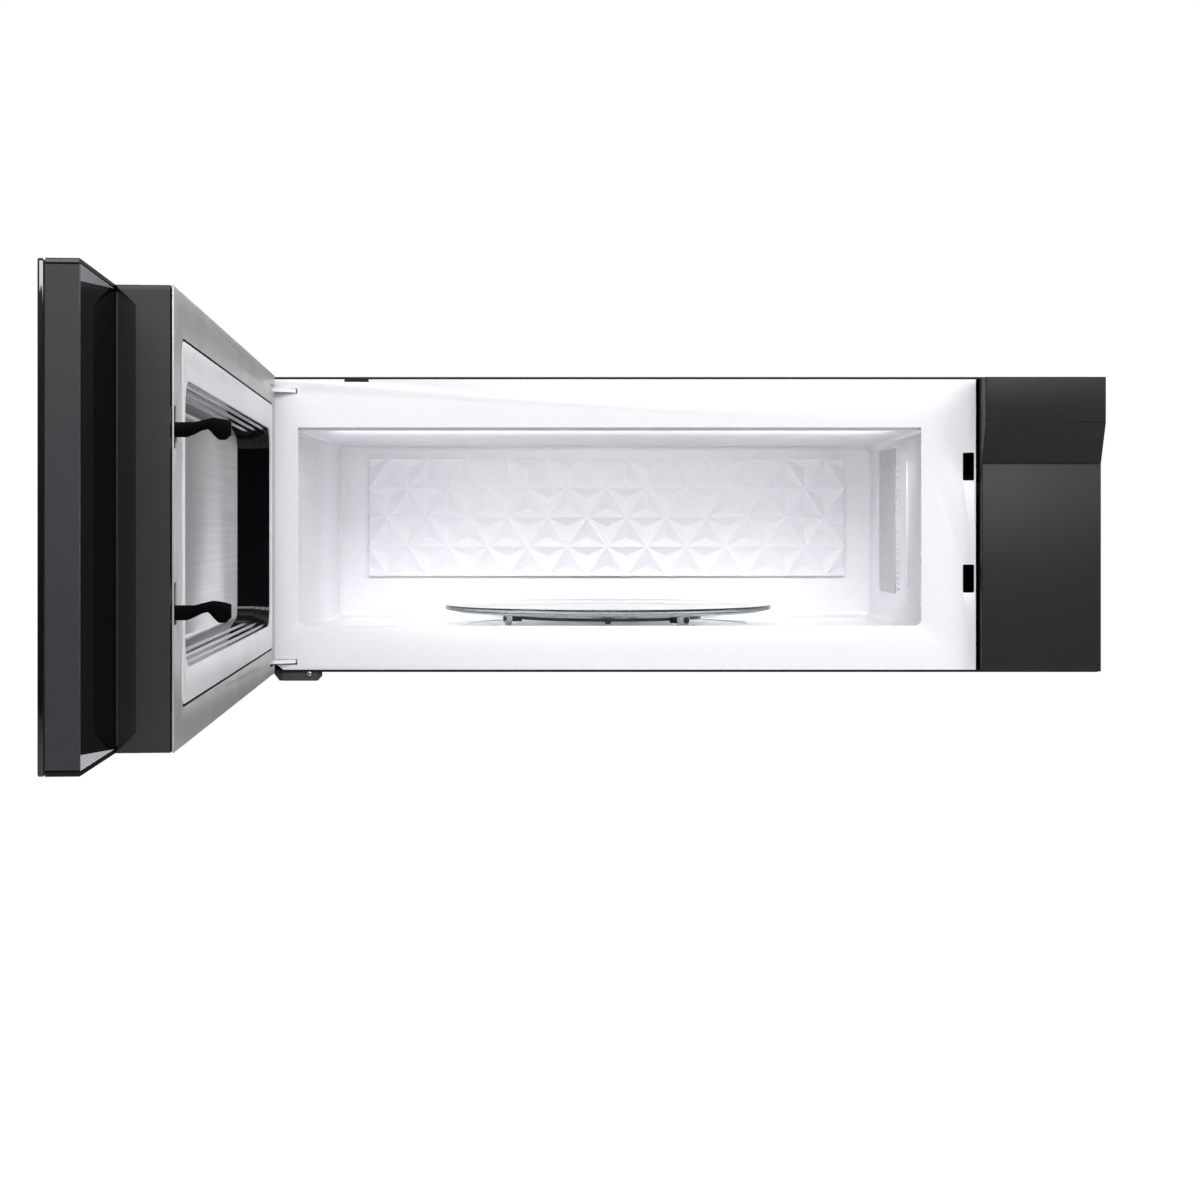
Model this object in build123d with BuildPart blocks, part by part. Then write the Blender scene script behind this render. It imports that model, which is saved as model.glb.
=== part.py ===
"""Over-the-range microwave oven with a full-width side-hung door.

Millimetres. X runs to the right, Y runs back to the wall, Z runs up. The origin is the middle of the wall
face of the mounting plate. The door is drawn open, as it is used to load the oven.
"""

from math import cos, radians, sin
import os

from build123d import *

# Outer size of the body
body_width = 758.8
body_height = 260.35
body_depth = 407.0
half_width = body_width / 2
bottom = -body_height / 2
front = -body_depth

# Sheet and running clearances
sheet = 1.0
hem = 2.0
running_clearance = 0.05

# White front frame, measured from the underside and from the body's centre line
frame_right = 271.9
frame_rise = (hem, body_height - hem)
frame_thickness = 1.2
opening_left = -326.7
opening_right = 223.7
opening_rise = (40.7, 215.8)
opening_corner = 6.5
lip_depth = 5.0

# Cavity
cavity_left = -331.0
cavity_right = 226.0
cavity_rise = (34.7, 213.5)
cavity_depth = 336.0
cavity_corner = 6.0
cavity_middle = (cavity_left + cavity_right) / 2 + 1.2
relief_width = 500.0
relief_rise = (78.0, 200.5)
relief_height = 1.6

# Turntable
tray_radius = 157.5
turntable_back = 175.0
tray_underside_rise = 47.9
tray_thickness = 4.0
tray_rim_rise = 54.0
wheel_radius = 6.5
wheel_width = 5.0
wheel_track_radius = 99.0
wheel_first_angle = 195.0
shaft_radius = 3.0

# Right column
column_left = 274.8
column_rise = (1.3, body_height - hem)
column_face = 12.0
column_nose = 29.0
column_nose_rise = 218.7
column_slope_rise = 183.2
column_wall = 2.5

# Door, closed sizes: along the door from its left edge, up from the underside, outward from its inner face
door_open_angle = 86.0
door_gap = 1.5
door_length = body_width
door_rise = (0.0, body_height)
hinge_inset = 16.0
hinge_outward = 19.0
shell_start = 10.0
shell_end = 651.4
shell_wall = 2.0
slab_back = 32.2
slab_front = 49.1
glass_back = 50.0
glass_front = 53.0
slab_rim = 3.4
slab_edge = 2.0

# Latches
latch_left = 260.4
latch_right = 270.3
latch_rises = ((70.1, 94.8), (169.1, 193.6))
hook_middle = (latch_left + latch_right) / 2 - 0.6
bar_outward = (6.0, 9.0)
hook_bottoms = (73.5, 176.0)
hook_thickness = 4.0
hook_reach = 31.0
hook_neck = 8.4
hook_drop = 1.6
hook_saddle = 4.7
hook_top = 2.6
spring_rise = (hook_bottoms[1] + hook_neck + 2, hook_bottoms[1] + hook_neck + 26)

# Vent system
duct_width = 254.0
duct_depth = 82.6
duct_middle_back = 360.0
duct_height = 20.0
blower_back = 372.0
blower_rise = 150.0
blower_radius = 26.0
blower_length = 104.0
filter_length = 240.0
filter_width = 146.0
filter_thickness = 8.0
filter_middle_back = 312.0
filter_middles = (cavity_middle - 140.0, cavity_middle + 140.0)

# Wall and cabinet fixings
wall_plate_width = 720.0
wall_plate_height = 190.0
wall_plate_thickness = 1.5
wall_hole_spacing_x = 406.4
wall_hole_spacing_z = 120.0
wall_hole_radius = 4.5
cabinet_bolt_spacing = 406.4
cabinet_bolt_back = 215.0
cabinet_thread_radius = 3.175

parts = []


def keep(piece, label):
    """Label a finished piece and put it on the list to be written."""
    piece.part.label = label
    parts.append(piece)


def rise(height):
    """Z of a height above the underside of the body."""
    return bottom + height


def back(distance):
    """Y of a distance behind the plane of the front frame."""
    return front + distance


def block(x_range, back_range, rise_range, mode=Mode.ADD):
    """Box in the open builder, given left to right, front to back and bottom to top."""
    with Locations((x_range[0], back(back_range[0]), rise(rise_range[0]))):
        Box(
            x_range[1] - x_range[0],
            back_range[1] - back_range[0],
            rise_range[1] - rise_range[0],
            align=(Align.MIN, Align.MIN, Align.MIN),
            mode=mode,
        )


def upright(x, distance, rise_range, radius, mode=Mode.ADD):
    """Vertical cylinder in the open builder."""
    with Locations((x, back(distance), rise(rise_range[0]))):
        Cylinder(
            radius,
            rise_range[1] - rise_range[0],
            align=(Align.CENTER, Align.CENTER, Align.MIN),
            mode=mode,
        )


def crosswise(x_range, distance, height, radius, mode=Mode.ADD):
    """Cylinder along X in the open builder."""
    with Locations(Location((x_range[0], back(distance), rise(height)), (0, 90, 0))):
        Cylinder(
            radius,
            x_range[1] - x_range[0],
            align=(Align.CENTER, Align.CENTER, Align.MIN),
            mode=mode,
        )


def lengthwise(x, back_range, height, radius, mode=Mode.ADD):
    """Cylinder along Y in the open builder."""
    with Locations(Location((x, back(back_range[0]), rise(height)), (-90, 0, 0))):
        Cylinder(
            radius,
            back_range[1] - back_range[0],
            align=(Align.CENTER, Align.CENTER, Align.MIN),
            mode=mode,
        )


# Door directions at the drawn opening
hinge_x = -half_width + hinge_inset
hinge_y = front - door_gap - hinge_outward
door_along = Vector(cos(radians(door_open_angle)), -sin(radians(door_open_angle)), 0)
door_outward = Vector(-sin(radians(door_open_angle)), -cos(radians(door_open_angle)), 0)


def door_place(along, outward):
    """Point of the door in plan, this far along it and this far outward from its inner face."""
    return Vector(hinge_x, hinge_y, 0) + door_along * (along - hinge_inset) \
        + door_outward * (outward - hinge_outward)


def door_plane(outward):
    """Plane across the door, this far outward from its inner face.

    Its x runs along the door from the hinge axis, and its y runs up from the origin's height.
    """
    return Plane(origin=door_place(hinge_inset, outward), x_dir=door_along, z_dir=door_outward)


def door_face(along_range, rise_range, outward, corner=0.0):
    """Rectangle across the door, this far outward from its inner face, with rounded corners if asked."""
    width = along_range[1] - along_range[0]
    height = rise_range[1] - rise_range[0]
    centre = (along_range[0] + width / 2 - hinge_inset, rise(rise_range[0] + height / 2))
    with BuildSketch(door_plane(outward)) as face:
        with Locations(centre):
            if corner:
                RectangleRounded(width, height, corner)
            else:
                Rectangle(width, height)
    return face.sketch


def door_block(along_range, rise_range, outward_range, mode=Mode.ADD, corner=0.0):
    """Slab in the open builder, in the door's own directions, with rounded corners if asked."""
    face = door_face(along_range, rise_range, outward_range[0], corner)
    extrude(face, amount=outward_range[1] - outward_range[0], mode=mode)


def door_funnel(along_ranges, rise_ranges, outward_range, mode=Mode.ADD):
    """Four-sided block in the open builder, whose two ends across the door differ in size."""
    ends = [
        door_face(along_ranges[end], rise_ranges[end], outward_range[end])
        for end in (0, 1)
    ]
    loft(ends, ruled=True, mode=mode)


def door_post(along, rise_range, outward, radius, mode=Mode.ADD):
    """Vertical cylinder in the open builder, placed in the door's own directions."""
    with Locations(door_place(along, outward) + Vector(0, 0, rise(rise_range[0]))):
        Cylinder(
            radius,
            rise_range[1] - rise_range[0],
            align=(Align.CENTER, Align.CENTER, Align.MIN),
            mode=mode,
        )


def along(closed_x):
    """Distance along the door of a place that has this X when the door is shut."""
    return closed_x + half_width


# Outer cover: the top sheet, with a folded front edge, a tab over the frame, louvres and holes
cover_back = body_depth - wall_plate_thickness - sheet
louvre_count = 24
louvre_pitch = 22.0
louvre_length = 15.0
louvre_width = 3.2
louvre_middle_back = 34.0
gland_x = 322.0
gland_back = 352.0
gland_radius = 11.0
case_screw_rises = (40.0, 200.0)
case_screw_radius = 1.8
cover_tab_x = (-285.4, -264.1)
cover_tab_rise = 256.0

with BuildPart() as outer_cover:
    block((-half_width, half_width), (0, cover_back), (body_height - sheet, body_height))
    block((-half_width + sheet, half_width - sheet), (0, 9), (body_height - hem, body_height - sheet))
    block(cover_tab_x, (0, frame_thickness), (cover_tab_rise, body_height - sheet))
    block((-duct_width / 2 - 3, duct_width / 2 + 3),
          (duct_middle_back - duct_depth / 2 - 2.5, cover_back + 1),
          (body_height - 5, body_height + 5), mode=Mode.SUBTRACT)
    with BuildSketch(Plane.XY.offset(rise(body_height - hem))):
        for row_back in (louvre_middle_back - 9, louvre_middle_back, louvre_middle_back + 9):
            with Locations((cavity_middle, back(row_back))):
                with GridLocations(louvre_pitch, 1, louvre_count, 1):
                    SlotOverall(louvre_length, louvre_width)
    extrude(amount=hem * 2, mode=Mode.SUBTRACT)
    with BuildSketch(Plane.XY.offset(rise(body_height - hem))):
        with Locations((0, back(cabinet_bolt_back))):
            with GridLocations(cabinet_bolt_spacing, 1, 2, 1):
                Circle(cabinet_thread_radius + 0.6)
        with Locations((gland_x, back(gland_back))):
            Circle(gland_radius)
    extrude(amount=hem * 2, mode=Mode.SUBTRACT)
    long_edges = outer_cover.edges().filter_by(Axis.Y).filter_by(lambda edge: edge.length > 300)
    fillet(long_edges.group_by(Axis.Z)[-1], 0.8)
keep(outer_cover, "outer_cover")

# Side panels, welded to the cover's long edges
with BuildPart() as side_panels:
    for side in (-1, 1):
        edge = sorted((side * half_width, side * (half_width - sheet)))
        block(edge, (0, cover_back), (0, body_height - sheet))
    for height in case_screw_rises:
        crosswise((-half_width - 1, half_width + 1), cover_back - 12, height, case_screw_radius + 0.1,
                  mode=Mode.SUBTRACT)
keep(side_panels, "side_panels")

# Base plate: the underside, with openings for the filters, the lamps and the motor
base_flange = 11.0
lamp_x = (cavity_middle - 150.0, cavity_middle + 150.0)
lamp_back = 92.0
lamp_length = 86.0
lamp_width = 44.0
intake_x = 300.0

with BuildPart() as base_plate:
    inner = half_width - sheet
    block((-inner, inner), (0.0, cover_back), (0, sheet))
    block((-inner, inner), (0.0, 9), (sheet, hem))
    for side in (-1, 1):
        edge = sorted((side * inner, side * (inner - sheet)))
        block(edge, (30, cover_back - 2), (sheet, base_flange))
    block((-inner + 4, inner - 4), (cover_back - sheet, cover_back), (sheet, base_flange))
    for x in filter_middles:
        block((x - filter_length / 2 + 5, x + filter_length / 2 - 5),
              (filter_middle_back - filter_width / 2 + 5, filter_middle_back + filter_width / 2 - 5),
              (-1, 5), mode=Mode.SUBTRACT)
    for x in lamp_x:
        block((x - lamp_length / 2, x + lamp_length / 2),
              (lamp_back - lamp_width / 2, lamp_back + lamp_width / 2), (-1, 5), mode=Mode.SUBTRACT)
    upright(cavity_middle, turntable_back, (-1, 5), 31.0, mode=Mode.SUBTRACT)
    with BuildSketch(Plane.XY.offset(rise(-1))):
        with Locations((intake_x, back(120))):
            with GridLocations(1, 10, 1, 8):
                SlotOverall(70, 3.5)
    extrude(amount=5, mode=Mode.SUBTRACT)
keep(base_plate, "base_plate")

# Service cover under the turntable motor
with BuildPart() as motor_service_cover:
    upright(cavity_middle, turntable_back, (-0.6, 0.0), 34.0)
    upright(cavity_middle, turntable_back, (0.0, 1.0), 30.7)
    for turn in range(3):
        angle = radians(120 * turn + 30)
        upright(cavity_middle + 15 * cos(angle), turntable_back + 15 * sin(angle), (-1, 2), 3.0,
                mode=Mode.SUBTRACT)
keep(motor_service_cover, "motor_service_cover")

# Back panel, with slots that hang on the wall plate's hooks
hook_tab_x = (-300.0, 0.0, 300.0)
hook_tab_width = 40.0
hook_tab_rise = 22.0

with BuildPart() as back_panel:
    block((-half_width + sheet, half_width - sheet), (cover_back, cover_back + sheet),
          (sheet, body_height - sheet))
    for x in hook_tab_x:
        block((x - hook_tab_width / 2 - 3, x + hook_tab_width / 2 + 3), (cover_back - 1, body_depth),
              (hook_tab_rise - 3, hook_tab_rise + 9), mode=Mode.SUBTRACT)
    block((-duct_width / 2 - 3, duct_width / 2 + 3), (cover_back - 1, body_depth),
          (body_height - 12, body_height + 1), mode=Mode.SUBTRACT)
keep(back_panel, "back_panel")

# Wall plate: screwed to the studs, carries the oven on three bent hooks
with BuildPart() as wall_plate:
    with BuildSketch(Plane.XZ.offset(0)):
        Rectangle(wall_plate_width, wall_plate_height)
        with GridLocations(wall_hole_spacing_x, wall_hole_spacing_z, 2, 2):
            Circle(wall_hole_radius, mode=Mode.SUBTRACT)
        for x in (-270, 270):
            with Locations((x, 0)):
                SlotOverall(90, 40, mode=Mode.SUBTRACT)
    extrude(amount=wall_plate_thickness)
    for x in hook_tab_x:
        tab_x = (x - hook_tab_width / 2, x + hook_tab_width / 2)
        plate_bottom = body_height / 2 - wall_plate_height / 2
        block(tab_x, (body_depth - wall_plate_thickness, body_depth),
              (hook_tab_rise, plate_bottom + 1))
        block(tab_x, (body_depth - 9, body_depth), (hook_tab_rise, hook_tab_rise + 1.5))
        block(tab_x, (body_depth - 9, body_depth - 7.5), (hook_tab_rise, hook_tab_rise + 5.5))
keep(wall_plate, "wall_plate")

# Front frame: enamelled steel plate round the mouth of the cavity
frame_left = -half_width + sheet + 0.4
tab_slot_right = -327.0
tab_slot_left = -370.0
lower_tab_rise = (8.0, 11.0)
upper_tab_rise = (246.5, 249.5)
notch_right = -345.0
notch_rise = 9.5

with BuildPart() as front_frame:
    with BuildSketch(Plane.XZ.offset(-front)):
        with BuildLine():
            Polyline(
                (frame_left, rise(notch_rise)),
                (frame_left, rise(frame_rise[1])),
                (frame_right, rise(frame_rise[1])),
                (frame_right, rise(frame_rise[0])),
                (notch_right + 5.5, rise(frame_rise[0])),
                (notch_right, rise(notch_rise - 1.5)),
                (notch_right, rise(notch_rise)),
                close=True,
            )
        make_face()
    extrude(amount=-frame_thickness)
    with BuildSketch(Plane.XZ.offset(-front)) as mouth:
        with Locations(((opening_left + opening_right) / 2, rise(sum(opening_rise) / 2))):
            Rectangle(opening_right - opening_left, opening_rise[1] - opening_rise[0])
        fillet(mouth.vertices().group_by(Axis.Y)[0], opening_corner)
    extrude(amount=-frame_thickness, mode=Mode.SUBTRACT)
    for low, high in latch_rises:
        block((latch_left, latch_right), (-1, 5), (low, high), mode=Mode.SUBTRACT)
    block(cover_tab_x, (-1, 5), (cover_tab_rise, body_height), mode=Mode.SUBTRACT)
    block((tab_slot_left, tab_slot_right), (-1, 5), (notch_rise - 3, lower_tab_rise[1] + 0.6),
          mode=Mode.SUBTRACT)
    block((tab_slot_left, tab_slot_right), (-1, 5), (upper_tab_rise[0] - 0.6, upper_tab_rise[1] + 0.6),
          mode=Mode.SUBTRACT)
keep(front_frame, "front_frame")

# Cavity liner: welded behind the frame, with the mica window, lamp holes, drive hole and pressed panels
mica_back = (162.0, 267.0)
mica_rise = (64.5, 205.0)
window_margin = 9.0
lamp_holes_back = (136.0, 155.0)
lamp_holes_rise = (68.0, 193.0)
drive_hole_radius = 8.0
ceiling_panel_x = (-306.0, 204.0)

roof_step = 4.5

with BuildPart() as cavity_liner:
    outside_x = (cavity_left - sheet, cavity_right + sheet)
    outside_rise = (cavity_rise[0] - sheet, cavity_rise[1] + roof_step)
    block(outside_x, (frame_thickness, cavity_depth + sheet), outside_rise)
    fillet(cavity_liner.edges().filter_by(Axis.Y), cavity_corner + sheet)
    with BuildSketch(Plane.XZ.offset(-back(lip_depth + 1))):
        with Locations(((cavity_left + cavity_right) / 2, rise(sum(cavity_rise) / 2))):
            RectangleRounded(cavity_right - cavity_left, cavity_rise[1] - cavity_rise[0], cavity_corner)
    extrude(amount=-(cavity_depth - lip_depth - 1), mode=Mode.SUBTRACT)
    block((outside_x[0] - 1, outside_x[1] + 1), (lip_depth + 2.5, cavity_depth + 2),
          (cavity_rise[1] + sheet, outside_rise[1] + 1), mode=Mode.SUBTRACT)
    block((opening_left, opening_right), (frame_thickness - 1, lip_depth + 1.5), opening_rise,
          mode=Mode.SUBTRACT)
    block(ceiling_panel_x, (60, cavity_depth), (cavity_rise[1] - 1.4, cavity_rise[1] + 0.1))
    block((ceiling_panel_x[0] + 9, ceiling_panel_x[1] - 9), (160, cavity_depth),
          (cavity_rise[1] - 2.8, cavity_rise[1] - 1.0))
    block((cavity_middle - relief_width / 2, cavity_middle + relief_width / 2),
          (cavity_depth - relief_height, cavity_depth + 0.1), relief_rise)
    with BuildSketch(Plane.XY.offset(rise(cavity_rise[0] - 0.2))):
        with Locations((cavity_middle, back(turntable_back))):
            Circle(137.5)
            Circle(134.5, mode=Mode.SUBTRACT)
    extrude(amount=0.9)
    block((cavity_right - 1, cavity_right + sheet + 1),
          (mica_back[0] + window_margin, mica_back[1] - window_margin),
          (mica_rise[0] + window_margin, mica_rise[1] - window_margin), mode=Mode.SUBTRACT)
    with BuildSketch(Plane.YZ.offset(cavity_right - 2)):
        with Locations((back(sum(lamp_holes_back) / 2), rise(sum(lamp_holes_rise) / 2))):
            with GridLocations(5.0, 5.4, 4, 24):
                Circle(1.4)
    extrude(amount=5, mode=Mode.SUBTRACT)
    upright(cavity_middle, turntable_back, (cavity_rise[0] - 3, cavity_rise[0] + 3), drive_hole_radius,
            mode=Mode.SUBTRACT)
keep(cavity_liner, "cavity_liner")

# Mica window over the microwave inlet
with BuildPart() as waveguide_cover:
    block((cavity_right - 0.8, cavity_right - 0.1), mica_back, mica_rise)
    fillet(waveguide_cover.edges().filter_by(Axis.X), 4.0)
keep(waveguide_cover, "waveguide_cover")

# Waveguide box between the magnetron and the mica window
guide_x = (cavity_right + sheet, cavity_right + sheet + 42.0)
with BuildPart() as waveguide:
    block(guide_x, (168, 261), (70, 199))
    block((guide_x[0] - 1, guide_x[1] - 1.2), (169.2, 259.8), (71.2, 197.8), mode=Mode.SUBTRACT)
    crosswise((guide_x[1] - 3, guide_x[1] + 1), 214.5, 165, 13.0, mode=Mode.SUBTRACT)
keep(waveguide, "waveguide")

# Magnetron: body with cooling fins, a yoke and the antenna that reaches into the waveguide
magnetron_x = (guide_x[1], guide_x[1] + 74.0)
with BuildPart() as magnetron:
    block((magnetron_x[0], magnetron_x[0] + 1.5), (172, 257), (122, 208))
    block((magnetron_x[1] - 1.5, magnetron_x[1]), (172, 257), (122, 208))
    block(magnetron_x, (172, 257), (122, 123.5))
    block(magnetron_x, (172, 257), (206.5, 208))
    crosswise(magnetron_x, 214.5, 165, 21.0)
    crosswise((magnetron_x[0] - 24, magnetron_x[0] + 1), 214.5, 165, 8.5)
    crosswise((magnetron_x[0] - 27, magnetron_x[0] - 22), 214.5, 165, 7.0)
    for fin in range(6):
        fin_x = magnetron_x[0] + 14 + fin * 9.0
        block((fin_x, fin_x + 0.8), (174, 255), (123.5, 206.5))
    crosswise((magnetron_x[1] - 1, magnetron_x[1] + 12), 214.5, 165, 15.0)
keep(magnetron, "magnetron")

# High voltage transformer: laminated core with two windings
with BuildPart() as transformer:
    block((258, 348), (268, 338), (3, 79))
    block((272, 288), (260, 346), (17, 65), mode=Mode.SUBTRACT)
    block((318, 334), (260, 346), (17, 65), mode=Mode.SUBTRACT)
    block((272.5, 333.5), (261, 268), (18, 40))
    block((272.5, 333.5), (338, 345), (18, 40))
    block((272.5, 333.5), (261, 268), (44, 64))
    block((272.5, 333.5), (338, 345), (44, 64))
    block((254, 352), (266, 340), (1.0, 3.0))
keep(transformer, "transformer")

with BuildPart() as capacitor:
    with BuildSketch(Plane.XY.offset(rise(1.2))):
        with Locations(Location((352, back(205)), 90)):
            SlotOverall(54, 34)
    extrude(amount=92)
    fillet(capacitor.faces().sort_by(Axis.Z)[-1].edges(), 2.0)
    for shift in (-9, 9):
        block((349, 355), (205 + shift - 0.5, 205 + shift + 0.5), (93, 103))
keep(capacitor, "capacitor")

with BuildPart() as high_voltage_diode:
    lengthwise(318, (188, 224), 9, 4.0)
    lengthwise(318, (176, 236), 9, 0.9)
keep(high_voltage_diode, "high_voltage_diode")

# Power board, upright behind the fascia
with BuildPart() as control_board:
    block((288, 366), (8, 9.6), (20, 205))
    block((300, 340), (9.6, 34), (30, 66))
    block((296, 316), (9.6, 26), (84, 100))
    block((320, 340), (9.6, 26), (84, 100))
    block((344, 360), (9.6, 26), (84, 100))
    for height in (120, 138, 156):
        lengthwise(306, (9.6, 24), height, 6.5)
    block((330, 356), (9.6, 14), (130, 156))
    for height in (170, 188):
        block((298, 350), (9.6, 19), (height, height + 9))
keep(control_board, "control_board")

# Noise filter beside the cord inlet
with BuildPart() as noise_filter:
    block((262, 300), (352, 398), (205, 206.6))
    upright(274, 366, (206.6, 224), 9.0)
    block((286, 296), (360, 392), (206.6, 226))
    block((266, 282), (380, 394), (206.6, 220))
keep(noise_filter, "noise_filter")

# Cord inlet in the top, for the supply lead
with BuildPart() as cord_inlet:
    upright(gland_x, gland_back, (body_height - 14, body_height), gland_radius - 0.1)
    upright(gland_x, gland_back, (body_height, body_height + 2.5), gland_radius + 3)
    upright(gland_x, gland_back, (body_height - 3.5, body_height - sheet), gland_radius + 3)
    upright(gland_x, gland_back, (body_height - 20, body_height + 5), 4.6, mode=Mode.SUBTRACT)
keep(cord_inlet, "cord_inlet")

# Cooling fan for the magnetron, behind it in a moulded ring
fan_x = 312.0
fan_rise = 118.0
fan_radius = 52.0
fan_back = (352.0, 376.0)
blade_count = 7
with BuildPart() as fan_shroud:
    block((fan_x - 60, fan_x + 62), fan_back, (fan_rise - 60, fan_rise + 60))
    lengthwise(fan_x, (fan_back[0] - 1, fan_back[1] + 1), fan_rise, fan_radius + 1.5, mode=Mode.SUBTRACT)
    for turn in range(3):
        with BuildSketch(Plane.XZ.offset(-back(fan_back[1] - 3))):
            with Locations(Location((fan_x, rise(fan_rise)), 120 * turn + 90)):
                with Locations((31.5, 0)):
                    Rectangle(50, 6)
        extrude(amount=-3)
    lengthwise(fan_x, (fan_back[1] - 3, fan_back[1]), fan_rise, 17.0)
    lengthwise(fan_x, (fan_back[1] - 4, fan_back[1] + 1), fan_rise, 3.0, mode=Mode.SUBTRACT)
keep(fan_shroud, "fan_shroud")

with BuildPart() as cooling_fan:
    lengthwise(fan_x, (fan_back[0] + 3, fan_back[1] - 6), fan_rise, 13.0)
    lengthwise(fan_x, (fan_back[0] + 3, fan_back[1] + 4), fan_rise, shaft_radius - running_clearance)
    for turn in range(blade_count):
        angle = 360 / blade_count * turn
        blade_plane = Plane(
            origin=(fan_x, back(sum(fan_back) / 2 - 1), rise(fan_rise)),
            x_dir=(0, 1, 0),
            z_dir=(cos(radians(angle)), 0, sin(radians(angle))),
        )
        with BuildSketch(blade_plane.offset(11)):
            with Locations(Location((0, 0), 34)):
                Rectangle(18, 1.6)
        extrude(amount=fan_radius - 12)
keep(cooling_fan, "cooling_fan")

with BuildPart() as cooling_fan_motor:
    block((fan_x - 17, fan_x + 17), (fan_back[1], fan_back[1] + 16), (fan_rise - 17, fan_rise + 17))
    lengthwise(fan_x, (fan_back[1] - 1, fan_back[1] + 6), fan_rise, shaft_radius, mode=Mode.SUBTRACT)
    fillet(cooling_fan_motor.edges().filter_by(Axis.Y).group_by(Axis.X)[0], 4.0)
    fillet(cooling_fan_motor.edges().filter_by(Axis.Y).group_by(Axis.X)[-1], 4.0)
keep(cooling_fan_motor, "cooling_fan_motor")

# Cavity lamp behind the row of small holes
with BuildPart() as cavity_lamp:
    block((cavity_right + sheet, cavity_right + sheet + 2), (128, 160), (112, 148))
    crosswise((cavity_right + sheet + 2, cavity_right + sheet + 26), 144, 130, 11.0)
    crosswise((cavity_right + sheet + 26, cavity_right + sheet + 34), 144, 130, 7.0)
keep(cavity_lamp, "cavity_lamp")

# Thermal cut-outs on the cavity roof and floor and on the magnetron
with BuildPart() as thermal_cutouts:
    upright(150, 250, (cavity_rise[1] + sheet, cavity_rise[1] + sheet + 9), 8.0)
    upright(-180, 60, (cavity_rise[0] - sheet - 9, cavity_rise[0] - sheet), 8.0)
    upright(magnetron_x[0] + 34, 190, (208, 217), 8.0)
keep(thermal_cutouts, "thermal_cutouts")

# Right column fascia: satin moulding with a nose along its top and a slope under the nose
with BuildPart() as column_fascia:
    with BuildSketch(Plane.YZ.offset(column_left)):
        with BuildLine():
            Polyline(
                (back(0), rise(column_rise[0])),
                (back(0), rise(column_rise[1])),
                (back(-column_nose), rise(column_rise[1])),
                (back(-column_nose), rise(column_nose_rise)),
                (back(-column_face), rise(column_slope_rise)),
                (back(-column_face), rise(column_rise[0])),
                close=True,
            )
        make_face()
    extrude(amount=half_width - column_left)
    outer_edges = column_fascia.edges().filter_by(Axis.Z)
    fillet(outer_edges.group_by(Axis.Y)[0], 1.6)
    fillet(column_fascia.edges().filter_by(Axis.Z).filter_by(lambda edge: edge.length > 150)
           .group_by(Axis.Y)[0], 1.6)
    with BuildSketch(Plane.YZ.offset(column_left + column_wall)):
        with BuildLine():
            Polyline(
                (back(1), rise(column_rise[0] + column_wall)),
                (back(1), rise(column_rise[1] - column_wall)),
                (back(-column_nose + column_wall), rise(column_rise[1] - column_wall)),
                (back(-column_nose + column_wall), rise(column_nose_rise + 1)),
                (back(-column_face + column_wall), rise(column_slope_rise + 1)),
                (back(-column_face + column_wall), rise(column_rise[0] + column_wall)),
                close=True,
            )
        make_face()
    extrude(amount=half_width - column_left - 2 * column_wall, mode=Mode.SUBTRACT)
    for height in (30, 225):
        block((column_left + column_wall, half_width - column_wall), (-6, 6), (height, height + 2))
keep(column_fascia, "column_fascia")

# Latch board: moulded carrier behind the slots, with a catch under each hook
catch_clearance = 0.4

with BuildPart() as latch_board:
    block((254, 273.5), (11.5, 62), (60, 204))
    for low, high in latch_rises:
        block((latch_left - 0.6, latch_right + 0.6), (0, 50), (low, high), mode=Mode.SUBTRACT)
    for (low, high), hook_low in zip(latch_rises, hook_bottoms):
        block((latch_left - 0.6, latch_right + 0.6), (11.5, 19),
              (low, hook_low - hook_drop - catch_clearance))
    block((latch_left - 3, latch_right + 1), (11, 63), (108, 156), mode=Mode.SUBTRACT)
keep(latch_board, "latch_board")

# Interlock switches: two behind the upper hook and one behind the lower
with BuildPart() as interlock_switches:
    for low in (168, 184):
        block((274, 284), (18, 46), (low, low + 13))
    block((274, 284), (18, 46), (74, 87))
keep(interlock_switches, "interlock_switches")

# Hinge brackets: steel plates that reach through the frame to the pins
bracket_left = -368.0
bracket_right = -328.0
pin_radius = 3.0
bracket_end_radius = 7.0


def hinge_bracket(tab_rise, flange_rise):
    """Bracket in the open builder: a level plate to the pin and an upright flange behind the frame."""
    with BuildSketch(Plane.XY.offset(rise(tab_rise[0]))) as plate:
        with BuildLine():
            Polyline(
                (bracket_left, back(34)),
                (bracket_right, back(34)),
                (bracket_right, back(-3)),
                (hinge_x + 5.5, hinge_y - 3),
                (bracket_left, hinge_y),
                close=True,
            )
        make_face()
        with Locations((hinge_x, hinge_y)):
            Circle(bracket_end_radius)
            Circle(pin_radius, mode=Mode.SUBTRACT)
    extrude(plate.sketch, amount=tab_rise[1] - tab_rise[0])
    block((bracket_left, bracket_right), (frame_thickness + 0.1, frame_thickness + 2.6), flange_rise)


with BuildPart() as lower_hinge_bracket:
    hinge_bracket(lower_tab_rise, (lower_tab_rise[1] - 0.5, 30))
keep(lower_hinge_bracket, "lower_hinge_bracket")

with BuildPart() as upper_hinge_bracket:
    hinge_bracket(upper_tab_rise, (226, upper_tab_rise[0] + 0.5))
keep(upper_hinge_bracket, "upper_hinge_bracket")

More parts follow.
